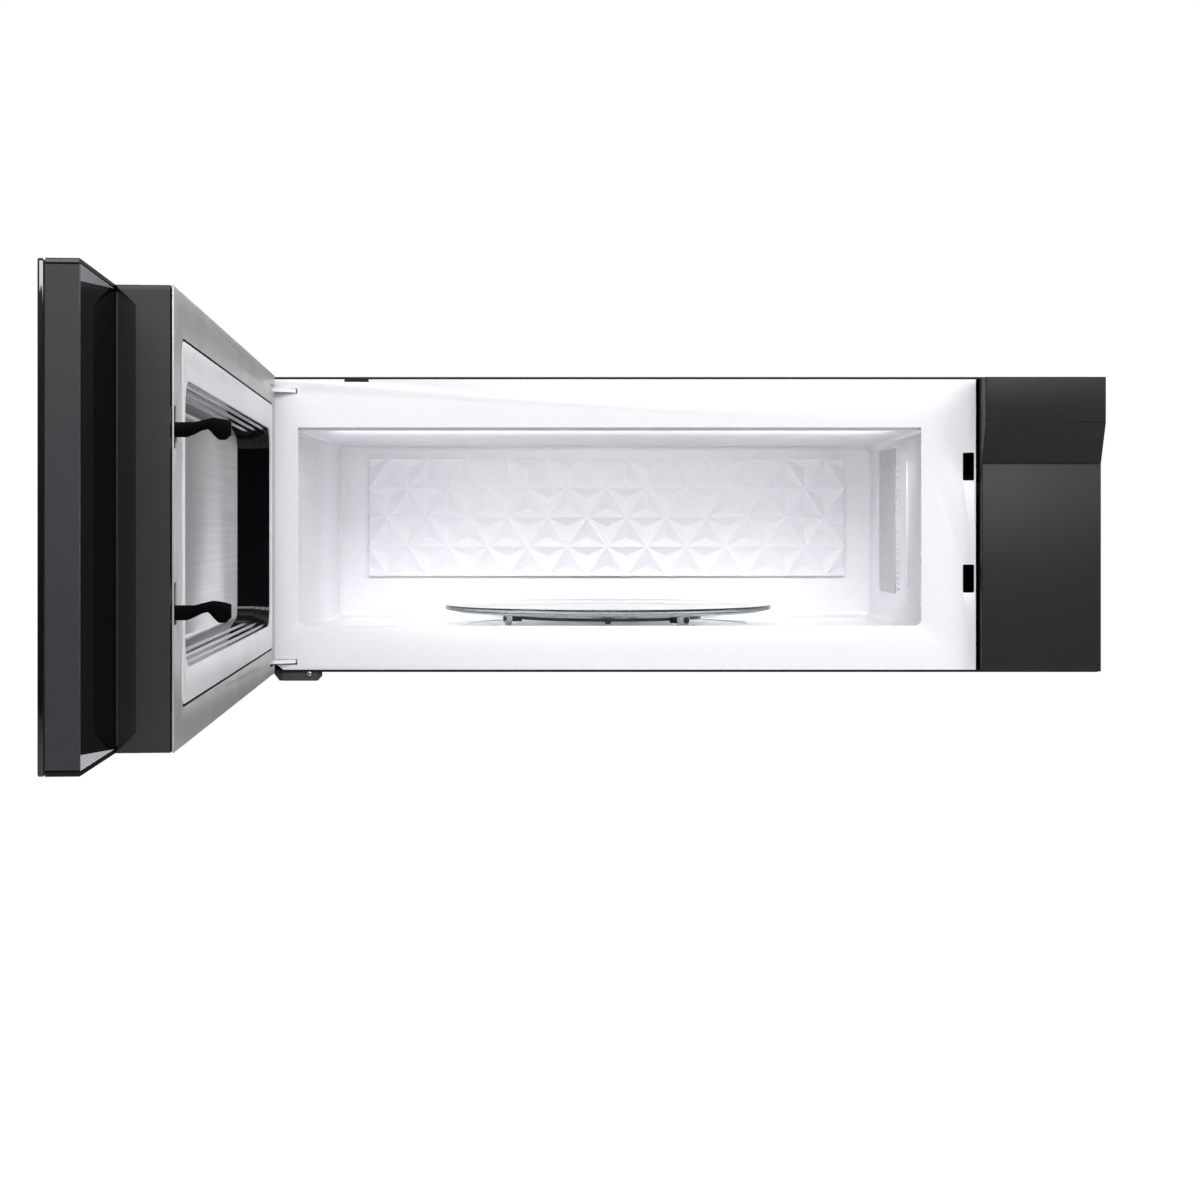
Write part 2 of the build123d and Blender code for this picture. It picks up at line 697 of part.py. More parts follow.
pin_reach = 12.0
with BuildPart() as hinge_pins:
    hinge_place = (hinge_x, hinge_y - front)
    upright(*hinge_place, (lower_tab_rise[0], lower_tab_rise[1] + pin_reach), pin_radius)
    upright(*hinge_place, (lower_tab_rise[0] - 2.0, lower_tab_rise[0]), 4.5)
    upright(*hinge_place, (upper_tab_rise[0] - pin_reach, upper_tab_rise[1]), pin_radius)
    upright(*hinge_place, (upper_tab_rise[1], upper_tab_rise[1] + 2.0), 4.5)
keep(hinge_pins, "hinge_pins")

# Foot cover under the lower hinge, with its lower corners and its front corners cut back
foot_x = (-350.0, -305.6)
foot_face_x = (-340.5, -309.8)
foot_backs = (2.0, 36.0)
foot_drop = 7.9

with BuildPart() as hinge_foot_cover:
    with BuildSketch(Plane.XZ.offset(-back(foot_backs[0]))):
        with BuildLine():
            Polyline(
                (foot_x[0], rise(0)),
                (foot_x[1], rise(0)),
                (foot_x[1], rise(-5.2)),
                (foot_x[1] - 4.2, rise(-foot_drop)),
                (foot_x[0] + 5.4, rise(-foot_drop)),
                (foot_x[0], rise(-1.5)),
                close=True,
            )
        make_face()
    extrude(amount=foot_backs[0] - foot_backs[1])
    with BuildSketch(Plane.XY.offset(rise(-foot_drop))):
        with BuildLine():
            Polyline(
                (foot_face_x[0], back(foot_backs[0])),
                (foot_face_x[1], back(foot_backs[0])),
                (foot_x[1], back(foot_backs[0] + 4.2)),
                (foot_x[1], back(foot_backs[1])),
                (foot_x[0], back(foot_backs[1])),
                (foot_x[0], back(foot_backs[0] + 9.5)),
                close=True,
            )
        make_face()
    extrude(amount=foot_drop, mode=Mode.INTERSECT)
keep(hinge_foot_cover, "hinge_foot_cover")

# Turntable motor under the cavity floor
with BuildPart() as turntable_motor:
    upright(cavity_middle, turntable_back, (cavity_rise[0] - sheet - 18, cavity_rise[0] - sheet - 1), 24.5)
    with BuildSketch(Plane.XY.offset(rise(cavity_rise[0] - sheet - 1))):
        with Locations((cavity_middle, back(turntable_back))):
            SlotOverall(78, 12)
    extrude(amount=1)
    upright(cavity_middle, turntable_back, (cavity_rise[0] - sheet - 5, cavity_rise[0] - sheet), 7.5)
    upright(cavity_middle, turntable_back, (cavity_rise[0] - sheet - 8, cavity_rise[0]), shaft_radius,
            mode=Mode.SUBTRACT)
keep(turntable_motor, "turntable_motor")

# Drive coupler: shaft, hub and three arms that turn the tray
arm_reach = 21.0
with BuildPart() as drive_coupler:
    upright(cavity_middle, turntable_back, (cavity_rise[0] - sheet - 7, cavity_rise[0] + 2),
            shaft_radius - running_clearance)
    upright(cavity_middle, turntable_back, (cavity_rise[0] + 2, 44.5), 6.5)
    with BuildSketch(Plane.XY.offset(rise(40.5))):
        for turn in range(3):
            with Locations(Location((cavity_middle, back(turntable_back)), 120 * turn + 30)):
                with Locations((arm_reach / 2, 0)):
                    SlotOverall(arm_reach, 8)
    extrude(amount=4)
keep(drive_coupler, "drive_coupler")

# Glass tray: a shallow dish with an upright rim and three lugs under it
lug_radius = 17.0
rim_height = 3.8
with BuildPart() as glass_tray:
    tray_top = tray_underside_rise + tray_thickness
    with BuildSketch(Plane.XZ.offset(-back(turntable_back))):
        with BuildLine():
            Polyline(
                (cavity_middle, rise(tray_underside_rise)),
                (cavity_middle + tray_radius - 9, rise(tray_underside_rise)),
                (cavity_middle + tray_radius - 0.5, rise(tray_rim_rise - rim_height - 0.6)),
                (cavity_middle + tray_radius, rise(tray_rim_rise - rim_height)),
                (cavity_middle + tray_radius, rise(tray_rim_rise)),
                (cavity_middle + tray_radius - 3.5, rise(tray_rim_rise)),
                (cavity_middle + tray_radius - 5.5, rise(tray_rim_rise - 0.6)),
            )
            Spline(
                (cavity_middle + tray_radius - 5.5, rise(tray_rim_rise - 0.6)),
                (cavity_middle + tray_radius - 14, rise(tray_top + 0.8)),
                (cavity_middle + tray_radius - 26, rise(tray_top)),
                tangents=((-1, -0.5), (-1, 0)),
            )
            Polyline(
                (cavity_middle + tray_radius - 26, rise(tray_top)),
                (cavity_middle, rise(tray_top)),
                (cavity_middle, rise(tray_underside_rise)),
            )
        make_face()
    revolve(axis=Axis((cavity_middle, back(turntable_back), 0), (0, 0, 1)))
    for turn in range(3):
        angle = radians(120 * turn + 90)
        upright(cavity_middle + lug_radius * cos(angle), turntable_back + lug_radius * sin(angle),
                (tray_underside_rise - 4.2, tray_underside_rise + 1), 3.5)
keep(glass_tray, "glass_tray")

# Roller ring: a hoop with three spokes that carry the rollers
hoop_radius = 86.0
spoke_pin_radius = 1.5
ring_rise = (40.6, 43.4)
ring_axis_rise = cavity_rise[0] + wheel_radius
with BuildPart() as roller_ring:
    with BuildSketch(Plane.XY.offset(rise(ring_rise[0]))):
        with Locations((cavity_middle, back(turntable_back))):
            Circle(hoop_radius + 4)
            Circle(hoop_radius - 3, mode=Mode.SUBTRACT)
    extrude(amount=ring_rise[1] - ring_rise[0])
    for turn in range(3):
        angle = wheel_first_angle + 120 * turn
        spoke_plane = Plane(
            origin=(cavity_middle, back(turntable_back), rise(ring_axis_rise)),
            x_dir=(-sin(radians(angle)), cos(radians(angle)), 0),
            z_dir=(cos(radians(angle)), sin(radians(angle)), 0),
        )
        with BuildSketch(spoke_plane.offset(hoop_radius + 1)):
            Circle(spoke_pin_radius)
        extrude(amount=wheel_track_radius + wheel_width / 2 + 2.2 - hoop_radius - 1)
        with BuildSketch(spoke_plane.offset(wheel_track_radius + wheel_width / 2 + 0.8)):
            Circle(3.0)
        extrude(amount=1.4)
        with BuildSketch(spoke_plane.offset(hoop_radius + 1)):
            RectangleRounded(12, 5.6, 1.5)
        extrude(amount=wheel_track_radius - wheel_width / 2 - 0.4 - hoop_radius - 1)
keep(roller_ring, "roller_ring")


def roller_wheel(index):
    """One roller that turns on its spoke pin between the cavity floor and the tray."""
    angle = wheel_first_angle + 120 * index
    with BuildPart() as roller:
        wheel_plane = Plane(
            origin=(cavity_middle, back(turntable_back), rise(ring_axis_rise)),
            x_dir=(-sin(radians(angle)), cos(radians(angle)), 0),
            z_dir=(cos(radians(angle)), sin(radians(angle)), 0),
        )
        with BuildSketch(wheel_plane.offset(wheel_track_radius - wheel_width / 2)):
            Circle(wheel_radius - 0.05)
            Circle(spoke_pin_radius + running_clearance, mode=Mode.SUBTRACT)
        extrude(amount=wheel_width)
        fillet(roller.edges().filter_by(GeomType.CIRCLE).group_by(SortBy.RADIUS)[-1], 0.8)
    keep(roller, f"roller_wheel_{index + 1}")


for wheel in range(3):
    roller_wheel(wheel)

# Vent blower behind the cavity: two wheels on one shaft, the motor between them
blower_motor_x = (cavity_middle - 32.0, cavity_middle + 32.0)
wheel_spans = (
    (blower_motor_x[0] - 12 - blower_length, blower_motor_x[0] - 12),
    (blower_motor_x[1] + 12, blower_motor_x[1] + 12 + blower_length),
)
scroll_wall = 1.5
vane_count = 20

with BuildPart() as blower_housing:
    for span in wheel_spans:
        block((span[0] - 4, span[1] + 4), (blower_back - 31, blower_back + 31),
              (blower_rise - 33, blower_rise + 31))
        block((span[0] - 4 + scroll_wall, span[1] + 4 - scroll_wall),
              (blower_back - 31 + scroll_wall, blower_back + 31 - scroll_wall),
              (blower_rise - 33 + scroll_wall, blower_rise + 40), mode=Mode.SUBTRACT)
        crosswise((span[0] - 6, span[1] + 6), blower_back, blower_rise, 20.0, mode=Mode.SUBTRACT)
    block((wheel_spans[0][0] - 4, wheel_spans[1][1] + 4),
          (blower_back - 31, blower_back - 31 + scroll_wall), (blower_rise - 33, blower_rise - 27))
keep(blower_housing, "blower_housing")

with BuildPart() as blower_wheels:
    for span in wheel_spans:
        middle = sum(span) / 2
        crosswise((middle - 1, middle + 1), blower_back, blower_rise, blower_radius)
        for end in span:
            side = 1 if end == span[0] else -1
            ring_x = sorted((end, end + side * 2.0))
            crosswise(ring_x, blower_back, blower_rise, blower_radius)
            crosswise((ring_x[0] - 1, ring_x[1] + 1), blower_back, blower_rise, blower_radius - 6,
                      mode=Mode.SUBTRACT)
        for vane in range(vane_count):
            angle = 360 / vane_count * vane
            with BuildSketch(Plane.YZ.offset(span[0])):
                with Locations(Location((back(blower_back), rise(blower_rise)), angle)):
                    with Locations(Location((blower_radius - 3.2, 0), 25)):
                        Rectangle(5.4, 0.9)
            extrude(amount=blower_length)
    crosswise((wheel_spans[0][0] + 20, wheel_spans[1][1] - 20), blower_back, blower_rise,
              shaft_radius - running_clearance)
keep(blower_wheels, "blower_wheels")

with BuildPart() as blower_motor:
    crosswise(blower_motor_x, blower_back, blower_rise, 27.0)
    crosswise((blower_motor_x[0] - 8, blower_motor_x[1] + 8), blower_back, blower_rise, 9.0)
    crosswise((blower_motor_x[0] - 10, blower_motor_x[1] + 10), blower_back, blower_rise, shaft_radius,
              mode=Mode.SUBTRACT)
    fillet(blower_motor.edges().filter_by(GeomType.CIRCLE).group_by(SortBy.RADIUS)[-1], 4.0)
keep(blower_motor, "blower_motor")

# Exhaust adaptor: flanged collar for a flat duct on the top
collar_wall = 1.0
with BuildPart() as exhaust_adaptor:
    collar_x = (-duct_width / 2, duct_width / 2)
    collar_back = (duct_middle_back - duct_depth / 2, duct_middle_back + duct_depth / 2)
    block(collar_x, collar_back, (body_height - 16, body_height + duct_height))
    block((collar_x[0] - 9, collar_x[1] + 9), (collar_back[0] - 9, collar_back[1] + 2),
          (body_height, body_height + 1.2))
    block((collar_x[0] + collar_wall, collar_x[1] - collar_wall),
          (collar_back[0] + collar_wall, collar_back[1] - collar_wall),
          (body_height - 20, body_height + duct_height + 1), mode=Mode.SUBTRACT)
    crosswise((collar_x[0] - 1, collar_x[1] + 1), collar_back[0] + 10, body_height - 9, 2.05,
              mode=Mode.SUBTRACT)
keep(exhaust_adaptor, "exhaust_adaptor")

# Damper flap that falls shut in the collar
flap_axis_back = duct_middle_back - duct_depth / 2 + 10
flap_axis_rise = body_height - 9
with BuildPart() as damper_flap:
    block((collar_x[0] + 2.5, collar_x[1] - 2.5), (collar_back[0] + 4, collar_back[1] - 2.6),
          (flap_axis_rise - 0.5, flap_axis_rise + 0.5))
    crosswise(collar_x, flap_axis_back, flap_axis_rise, 2.0)
    block((collar_x[0] + 30, collar_x[1] - 30), (collar_back[1] - 8, collar_back[1] - 4),
          (flap_axis_rise + 0.5, flap_axis_rise + 2.5))
keep(damper_flap, "damper_flap")

# Charcoal filter under the top louvres
charcoal_x = (cavity_middle - 268.0, cavity_middle + 268.0)
with BuildPart() as charcoal_filter:
    block(charcoal_x, (14, 54), (228, 246))
    with BuildSketch(Plane.XY.offset(rise(238))):
        with Locations((cavity_middle, back(34))):
            with GridLocations(53, 1, 10, 1):
                Rectangle(46, 33)
    extrude(amount=10, mode=Mode.SUBTRACT)
keep(charcoal_filter, "charcoal_filter")

# Grease filters: a pressed frame round layers of mesh, dropped out of the base by hand
mesh_rows = 11
mesh_columns = 18
mesh_recess = 1.0
mesh_pocket = 0.8


def grease_filter(middle_x, label):
    """One framed mesh filter, sitting on the edge of its opening."""
    with BuildPart() as grease:
        length_x = (middle_x - filter_length / 2 + 6, middle_x + filter_length / 2 - 6)
        width_back = (filter_middle_back - filter_width / 2 + 6, filter_middle_back + filter_width / 2 - 6)
        block(length_x, width_back, (0, filter_thickness))
        block((length_x[0] + 8, length_x[1] - 8), (width_back[0] + 8, width_back[1] - 8),
              (-1, mesh_recess), mode=Mode.SUBTRACT)
        block((length_x[0] + 8, length_x[1] - 8), (width_back[0] + 8, width_back[1] - 8),
              (filter_thickness - mesh_recess, filter_thickness + 1), mode=Mode.SUBTRACT)
        with BuildSketch(Plane.XY.offset(rise(mesh_recess))):
            with Locations((middle_x, back(filter_middle_back))):
                with GridLocations(11.6, 10.6, mesh_columns, mesh_rows):
                    Rectangle(9.4, 8.4)
        extrude(amount=mesh_pocket, mode=Mode.SUBTRACT)
        block((middle_x - 14, middle_x + 14), (width_back[0] + 6, width_back[0] + 14), (0, 2.6))
    keep(grease, label)


grease_filter(filter_middles[0], "grease_filter_left")
grease_filter(filter_middles[1], "grease_filter_right")

# Cooktop lamps and their lenses under the front
with BuildPart() as lamp_lenses:
    for x in lamp_x:
        block((x - lamp_length / 2 + 0.4, x + lamp_length / 2 - 0.4),
              (lamp_back - lamp_width / 2 + 0.4, lamp_back + lamp_width / 2 - 0.4), (-1.2, 2.0))
    fillet(lamp_lenses.edges().filter_by(Axis.Z), 3.0)
keep(lamp_lenses, "lamp_lenses")

with BuildPart() as cooktop_lamps:
    for x in lamp_x:
        block((x - 34, x + 34), (lamp_back - 14, lamp_back + 14), (14, 15.6))
        for step in (-22, 0, 22):
            upright(x + step, lamp_back, (11.5, 14), 4.5)
keep(cooktop_lamps, "cooktop_lamps")

# Weld nuts for the two cabinet bolts
with BuildPart() as cabinet_nuts:
    for side in (-1, 1):
        x = side * cabinet_bolt_spacing / 2
        block((x - 8, x + 8), (cabinet_bolt_back - 8, cabinet_bolt_back + 8),
              (body_height - sheet - 9, body_height - sheet))
        upright(x, cabinet_bolt_back, (body_height - sheet - 10, body_height), cabinet_thread_radius,
                mode=Mode.SUBTRACT)
keep(cabinet_nuts, "cabinet_nuts")

# Case screws along the back edge and the sides
with BuildPart() as case_screws:
    for side in (-1, 1):
        for height in case_screw_rises:
            x = side * half_width
            ends = sorted((x, x + side * 1.6))
            crosswise(ends, cover_back - 12, height, 4.0)
            ends = sorted((x, x - side * 6))
            crosswise(ends, cover_back - 12, height, case_screw_radius)
keep(case_screws, "case_screws")

# Door frame: one moulding with the wide front slab and the narrower shell behind it
shell_length = (shell_start, shell_end)
opening_along = (61.0, 591.0)
opening_rises = (65.0, 198.0)
scoop_depth = 5.0
scoop_width = 11.4
pocket_start = shell_end - scoop_depth
pocket_end = door_length - slab_rim
pocket_rise = (door_rise[0] + slab_edge, door_rise[1] - slab_edge)
board_outward = slab_front - 3.4
notch_along = 38.0
notch_ledge = 5.4
notch_lower = 14.0
notch_upper = 243.5
guide_rises = (104.0, 150.0)
guide_height = 8.0
bush_radius = 5.0
bush_length = 9.0
pin_access_radius = 5.2
board_bay_rise = (6.0, 50.0)

with BuildPart() as door_frame:
    door_block((0, door_length), door_rise, (slab_back, slab_front), corner=1.2)
    door_block(shell_length, door_rise, (shell_wall, slab_back + 0.1), corner=1.2)
    door_block((shell_start + shell_wall, shell_end - shell_wall),
               (door_rise[0] + shell_wall, door_rise[1] - shell_wall), (-1, slab_back + 4),
               mode=Mode.SUBTRACT)
    door_block((pocket_start - shell_wall, shell_end - 0.1), (door_rise[0] + 0.1, door_rise[1] - 0.1),
               (slab_back - scoop_width - shell_wall, slab_back + 4.1))
    scoop_rises = (door_rise, (door_rise[0] + scoop_width, door_rise[1] - scoop_width))
    door_funnel(((pocket_start, door_length), (shell_end, door_length)), scoop_rises,
                (slab_back, slab_back - scoop_width), mode=Mode.SUBTRACT)
    door_block((pocket_start, pocket_end), pocket_rise, (slab_back - 1, slab_front + 1), mode=Mode.SUBTRACT)
    door_block(opening_along, opening_rises, (slab_back, slab_front + 1), mode=Mode.SUBTRACT)
    door_block((shell_start + 30, shell_end - 30), board_bay_rise, (board_outward, slab_front + 1),
               mode=Mode.SUBTRACT)
    for notch in ((notch_ledge, notch_lower), (notch_upper, body_height - notch_ledge)):
        door_block((shell_start - 1, notch_along), notch, (-1, slab_back), mode=Mode.SUBTRACT)
    for low in (notch_lower, notch_upper - 2.5):
        door_block((shell_start, notch_along + 2), (low, low + 2.5), (shell_wall, slab_back + 1))
    latch_side = (along(hook_middle) - 9, pocket_start)
    for low in guide_rises:
        door_block(latch_side, (low, low + guide_height), (bar_outward[1] + 0.1, slab_back + 4.1))
    door_block(latch_side, (spring_rise[1], spring_rise[1] + 3), (3.0, slab_back + 4.1))
    door_post(hinge_inset, (notch_lower, notch_lower + bush_length), hinge_outward, bush_radius + 2.2)
    door_post(hinge_inset, (notch_upper - bush_length, notch_upper), hinge_outward, bush_radius + 2.2)
    door_post(hinge_inset, (notch_lower - 1, notch_lower + bush_length + 6), hinge_outward, bush_radius,
              mode=Mode.SUBTRACT)
    door_post(hinge_inset, (notch_upper - bush_length - 6, notch_upper + 1), hinge_outward, bush_radius,
              mode=Mode.SUBTRACT)
    for low in (-1, body_height - shell_wall - 1):
        door_post(hinge_inset, (low, low + shell_wall + 2), hinge_outward, pin_access_radius,
                  mode=Mode.SUBTRACT)
keep(door_frame, "door_frame")

# Bushes for the hinge pins
with BuildPart() as hinge_bushes:
    for low, flange_low in ((notch_lower, notch_lower - 1.5),
                            (notch_upper - bush_length, notch_upper)):
        door_post(hinge_inset, (low, low + bush_length), hinge_outward, bush_radius)
        door_post(hinge_inset, (flange_low, flange_low + 1.5), hinge_outward, bush_radius + 1.5)
        door_post(hinge_inset, (low - 3, low + bush_length + 3), hinge_outward,
                  pin_radius + running_clearance, mode=Mode.SUBTRACT)
keep(hinge_bushes, "hinge_bushes")

# Glossy insert of the handle pocket: its floor slopes from the shell out to the rim, between slanted ends
pocket_depth = 13.5
pocket_end_slant = 6.3
hollow_along = (pocket_start, pocket_end)
hollow_rise = (pocket_rise[0] + pocket_end_slant, pocket_rise[1] - pocket_end_slant)
ramp_corner = door_place(pocket_start, slab_back) + Vector(0, 0, bottom)

with BuildPart() as pocket_hollow:
    door_funnel((hollow_along, hollow_along), (pocket_rise, hollow_rise),
                (slab_back, slab_back + pocket_depth))
    with BuildSketch(Plane(ramp_corner, x_dir=door_along, z_dir=(0, 0, 1))):
        Polygon((0, 1), (0, 0), (pocket_end - pocket_start, -pocket_depth), (pocket_end - pocket_start, 1),
                align=None)
    extrude(amount=body_height, mode=Mode.INTERSECT)

with BuildPart() as pocket_panel:
    door_block(hollow_along, pocket_rise, (slab_back, slab_front))
    add(pocket_hollow.part, mode=Mode.SUBTRACT)
keep(pocket_panel, "pocket_panel")

# Seal strip between the moulding and the front glass
seal_width = 12.0
with BuildPart() as glass_seal:
    door_block((1.0, door_length - 1.0), (door_rise[0] + 1.0, door_rise[1] - 1.0), (slab_front, glass_back))
    door_block((1.0 + seal_width, door_length - 1.0 - seal_width),
               (door_rise[0] + 1.0 + seal_width, door_rise[1] - 1.0 - seal_width),
               (slab_front - 1, glass_back + 1), mode=Mode.SUBTRACT)
keep(glass_seal, "glass_seal")

# Front glass over the whole door
with BuildPart() as door_glass:
    door_block((0, door_length), door_rise, (glass_back, glass_front), corner=2.0)
    chamfer(door_glass.faces().sort_by(Axis((0, 0, 0), tuple(door_outward)))[-1].edges(), 0.5)
keep(door_glass, "door_glass")

# Touch and display board behind the glass, below the window
with BuildPart() as touch_board:
    door_block((shell_start + 34, shell_end - 34), (board_bay_rise[0] + 2, board_bay_rise[1] - 2),
               (board_outward, board_outward + 1.6))
    door_block((along(-60), along(20)), (18, 40), (board_outward + 1.6, slab_front))
keep(touch_board, "touch_board")

# Window of the door: its mouth in the inner face, and the pane at the bottom of three steps and a deep wall
mouth_along = (47.0, 605.0)
mouth_rise = (43.5, 211.5)
mouth_corner = 18.0
step_count = 3
step_width = 2.2
step_drop = 4.4
pane_inset = step_count * step_width
pane_outward = 28.0
pane_thickness = 1.6
tray_wall = 1.2


def inset_mouth(inset, outward_range, mode=Mode.ADD):
    """Block in the open builder with the outline of the window's mouth, this much smaller all round."""
    door_block((mouth_along[0] + inset, mouth_along[1] - inset),
               (mouth_rise[0] + inset, mouth_rise[1] - inset), outward_range, mode, mouth_corner - inset)


# Door pan: pressed steel with the choke channel round the window
choke_along = (34.4, 618.0)
choke_rise = (22.0, 234.5)
choke_corner = 9.0
pan_sheet = 1.0
channel_depth = 24.0
wall_start = step_count * step_drop + 2.0
screen_outward = pane_outward + pane_thickness + 0.4
wall_clearance = 0.2
pan_notch_along = 53.0
tab_clearance = 1.0

with BuildPart() as door_pan:
    door_block((shell_start, shell_end), door_rise, (0, pan_sheet), corner=1.2)
    door_block((choke_along[0] - pan_sheet, choke_along[1] + pan_sheet),
               (choke_rise[0] - pan_sheet, choke_rise[1] + pan_sheet), (0, channel_depth),
               corner=choke_corner + pan_sheet)
    door_block(choke_along, choke_rise, (-1, channel_depth - pan_sheet), mode=Mode.SUBTRACT,
               corner=choke_corner)
    inset_mouth(pane_inset - tray_wall - wall_clearance - pan_sheet, (wall_start, screen_outward))
    inset_mouth(pane_inset - tray_wall - wall_clearance, (-1, screen_outward + 1), Mode.SUBTRACT)
    for tab_rise in (lower_tab_rise, upper_tab_rise):
        door_block((shell_start - 1, pan_notch_along),
                   (tab_rise[0] - tab_clearance, tab_rise[1] + tab_clearance), (-1, 3), mode=Mode.SUBTRACT)
    for low, high in latch_rises:
        door_block((along(latch_left), along(latch_right)), (low + 0.5, high), (-1, 3),
                   mode=Mode.SUBTRACT)
keep(door_pan, "door_pan")

# Window screen: the perforated sheet welded behind the pan's window wall
with BuildPart() as window_screen:
    inset_mouth(pane_inset - tray_wall - wall_clearance - pan_sheet, (screen_outward, screen_outward + 0.6))
keep(window_screen, "window_screen")

# Inner window: a smoked tray that steps down from the choke cover to its pane
flange_width = 5.0
flange_back = 1.4

with BuildPart() as inner_window:
    inset_mouth(-flange_width, (flange_back, flange_back + tray_wall))
    for step in range(step_count):
        inset_mouth(step * step_width - tray_wall, (flange_back, (step + 1) * step_drop + tray_wall))
    inset_mouth(pane_inset - tray_wall, (flange_back, pane_outward + pane_thickness))
    for step in range(step_count):
        inset_mouth(step * step_width, (-1, (step + 1) * step_drop), Mode.SUBTRACT)
    inset_mouth(pane_inset, (-1, pane_outward), Mode.SUBTRACT)
keep(inner_window, "inner_window")

# Choke cover: a plastic ring over the choke channel, with a skirt into it
choke_gap = 1.6
cover_proud = 0.3
skirt_wall = 1.8
skirt_depth = 9.6

with BuildPart() as choke_cover:
    door_block((choke_along[0] + choke_gap, choke_along[1] - choke_gap),
               (choke_rise[0] + choke_gap, choke_rise[1] - choke_gap), (-cover_proud, skirt_depth),
               corner=choke_corner - choke_gap)
    skirt = choke_gap + skirt_wall
    door_block((choke_along[0] + skirt, choke_along[1] - skirt),
               (choke_rise[0] + skirt, choke_rise[1] - skirt), (flange_back, skirt_depth + 1),
               mode=Mode.SUBTRACT, corner=choke_corner - skirt)
    inset_mouth(0.0, (-1, skirt_depth), Mode.SUBTRACT)
keep(choke_cover, "choke_cover")

# Latch bar: slides up and down in the free end of the door, with a curved hook through each slot
with BuildPart() as latch_bar:
    bar_along = (along(hook_middle) - 5.0, along(hook_middle) + 5.0)
    door_block(bar_along, (hook_bottoms[0] - 2, hook_bottoms[1] + hook_neck + 2), bar_outward)
    for low in hook_bottoms:
        hook_corner = door_place(along(hook_middle) + hook_thickness / 2, 0) + Vector(0, 0, rise(low))
        with BuildSketch(Plane(hook_corner, x_dir=door_outward, z_dir=-door_along)) as hook:
            with BuildLine():
                Polyline(
                    (bar_outward[0] + 1, 0),
                    (-6.5, 0),
                    (-18, hook_saddle),
                    (-24, -hook_drop),
                    (-28, -hook_drop),
                    (-hook_reach, hook_drop),
                    (-hook_reach, hook_neck + 1),
                    (-21, hook_neck + hook_top),
                    (-10.5, hook_neck),
                    (bar_outward[0] + 1, hook_neck),
                    close=True,
                )
            make_face()
        extrude(hook.sketch, amount=hook_thickness)
keep(latch_bar, "latch_bar")

# Return spring of the latch bar
spring_radius = 2.6
with BuildPart() as latch_spring:
    door_post(along(hook_middle), spring_rise, sum(bar_outward) / 2 + 2.0, spring_radius)
    door_post(along(hook_middle), (spring_rise[0] - 1, spring_rise[1] + 1), sum(bar_outward) / 2 + 2.0,
              spring_radius - 0.8, mode=Mode.SUBTRACT)
keep(latch_spring, "latch_spring")

os.makedirs("parts", exist_ok=True)
for piece in parts:
    export_step(piece.part, f"parts/{piece.part.label}.step")
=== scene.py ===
"""Over-the-range microwave oven with a full-width side-hung door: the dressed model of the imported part.

Sizes are millimetres and become metres as a mesh is made. A place on the body is given across (X from the
body's middle), behind the front frame and above the underside. A place on the door is given along it from
its hinge side, outward from its inner face and above the underside, and the door is made shut and then
swung open with its pieces.
"""

import logging
import math
from collections.abc import Callable
from dataclasses import dataclass, replace
from enum import Enum
from functools import partial

import bpy
from mathutils import Matrix, Vector


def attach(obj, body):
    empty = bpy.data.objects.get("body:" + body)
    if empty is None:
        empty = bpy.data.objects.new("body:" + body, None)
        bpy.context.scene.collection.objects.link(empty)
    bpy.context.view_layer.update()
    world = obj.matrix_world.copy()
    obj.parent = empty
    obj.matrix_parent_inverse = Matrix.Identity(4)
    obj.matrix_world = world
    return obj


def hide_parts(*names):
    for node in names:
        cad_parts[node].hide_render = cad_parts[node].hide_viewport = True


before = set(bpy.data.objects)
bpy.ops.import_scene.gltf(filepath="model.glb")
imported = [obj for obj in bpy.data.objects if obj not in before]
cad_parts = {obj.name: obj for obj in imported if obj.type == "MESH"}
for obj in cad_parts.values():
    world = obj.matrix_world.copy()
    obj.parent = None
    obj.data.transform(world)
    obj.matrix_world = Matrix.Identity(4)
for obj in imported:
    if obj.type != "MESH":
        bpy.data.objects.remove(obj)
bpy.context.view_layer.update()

LOG = logging.getLogger("microwave")
MM = 0.001
WIDTH = 758.8
HEIGHT = 260.35
DEPTH = 407.0
HALF = WIDTH / 2
HINGE_ALONG = 16.0
HINGE_OUTWARD = 19.0
DOOR_GAP = 1.5
DOOR_ANGLE = 86.0

UP = Vector((0, 0, 1))
ACROSS = Vector((1, 0, 0))
BEHIND = Vector((0, 1, 0))

Range = tuple[float, float]
Place = tuple[float, float, float]


class Body(Enum):
    """Bodies of the jointed part that new pieces ride on."""

    CABINET = "cabinet"
    DOOR = "door"
    LATCH = "latch"
    TRAY = "tray"
    RING = "ring"
    ROLLER_1 = "roller_1"
    ROLLER_2 = "roller_2"
    ROLLER_3 = "roller_3"


class Pick(Enum):
    """What is selected in edit mode."""

    EDGES = (False, True, False)
    FACES = (False, False, True)


# Colour and nodes

def linear(code: str) -> tuple[float, float, float, float]:
    """Turns an sRGB colour into the linear values that shaders take.

    Args:
        code: Six hex digits: red, green and blue.

    Returns:
        Linear red, green and blue, and an alpha of 1.
    """
    parts = [int(code[at:at + 2], 16) / 255 for at in (0, 2, 4)]
    red, green, blue = (p / 12.92 if p <= 0.04045 else ((p + 0.055) / 1.055) ** 2.4 for p in parts)
    return red, green, blue, 1.0


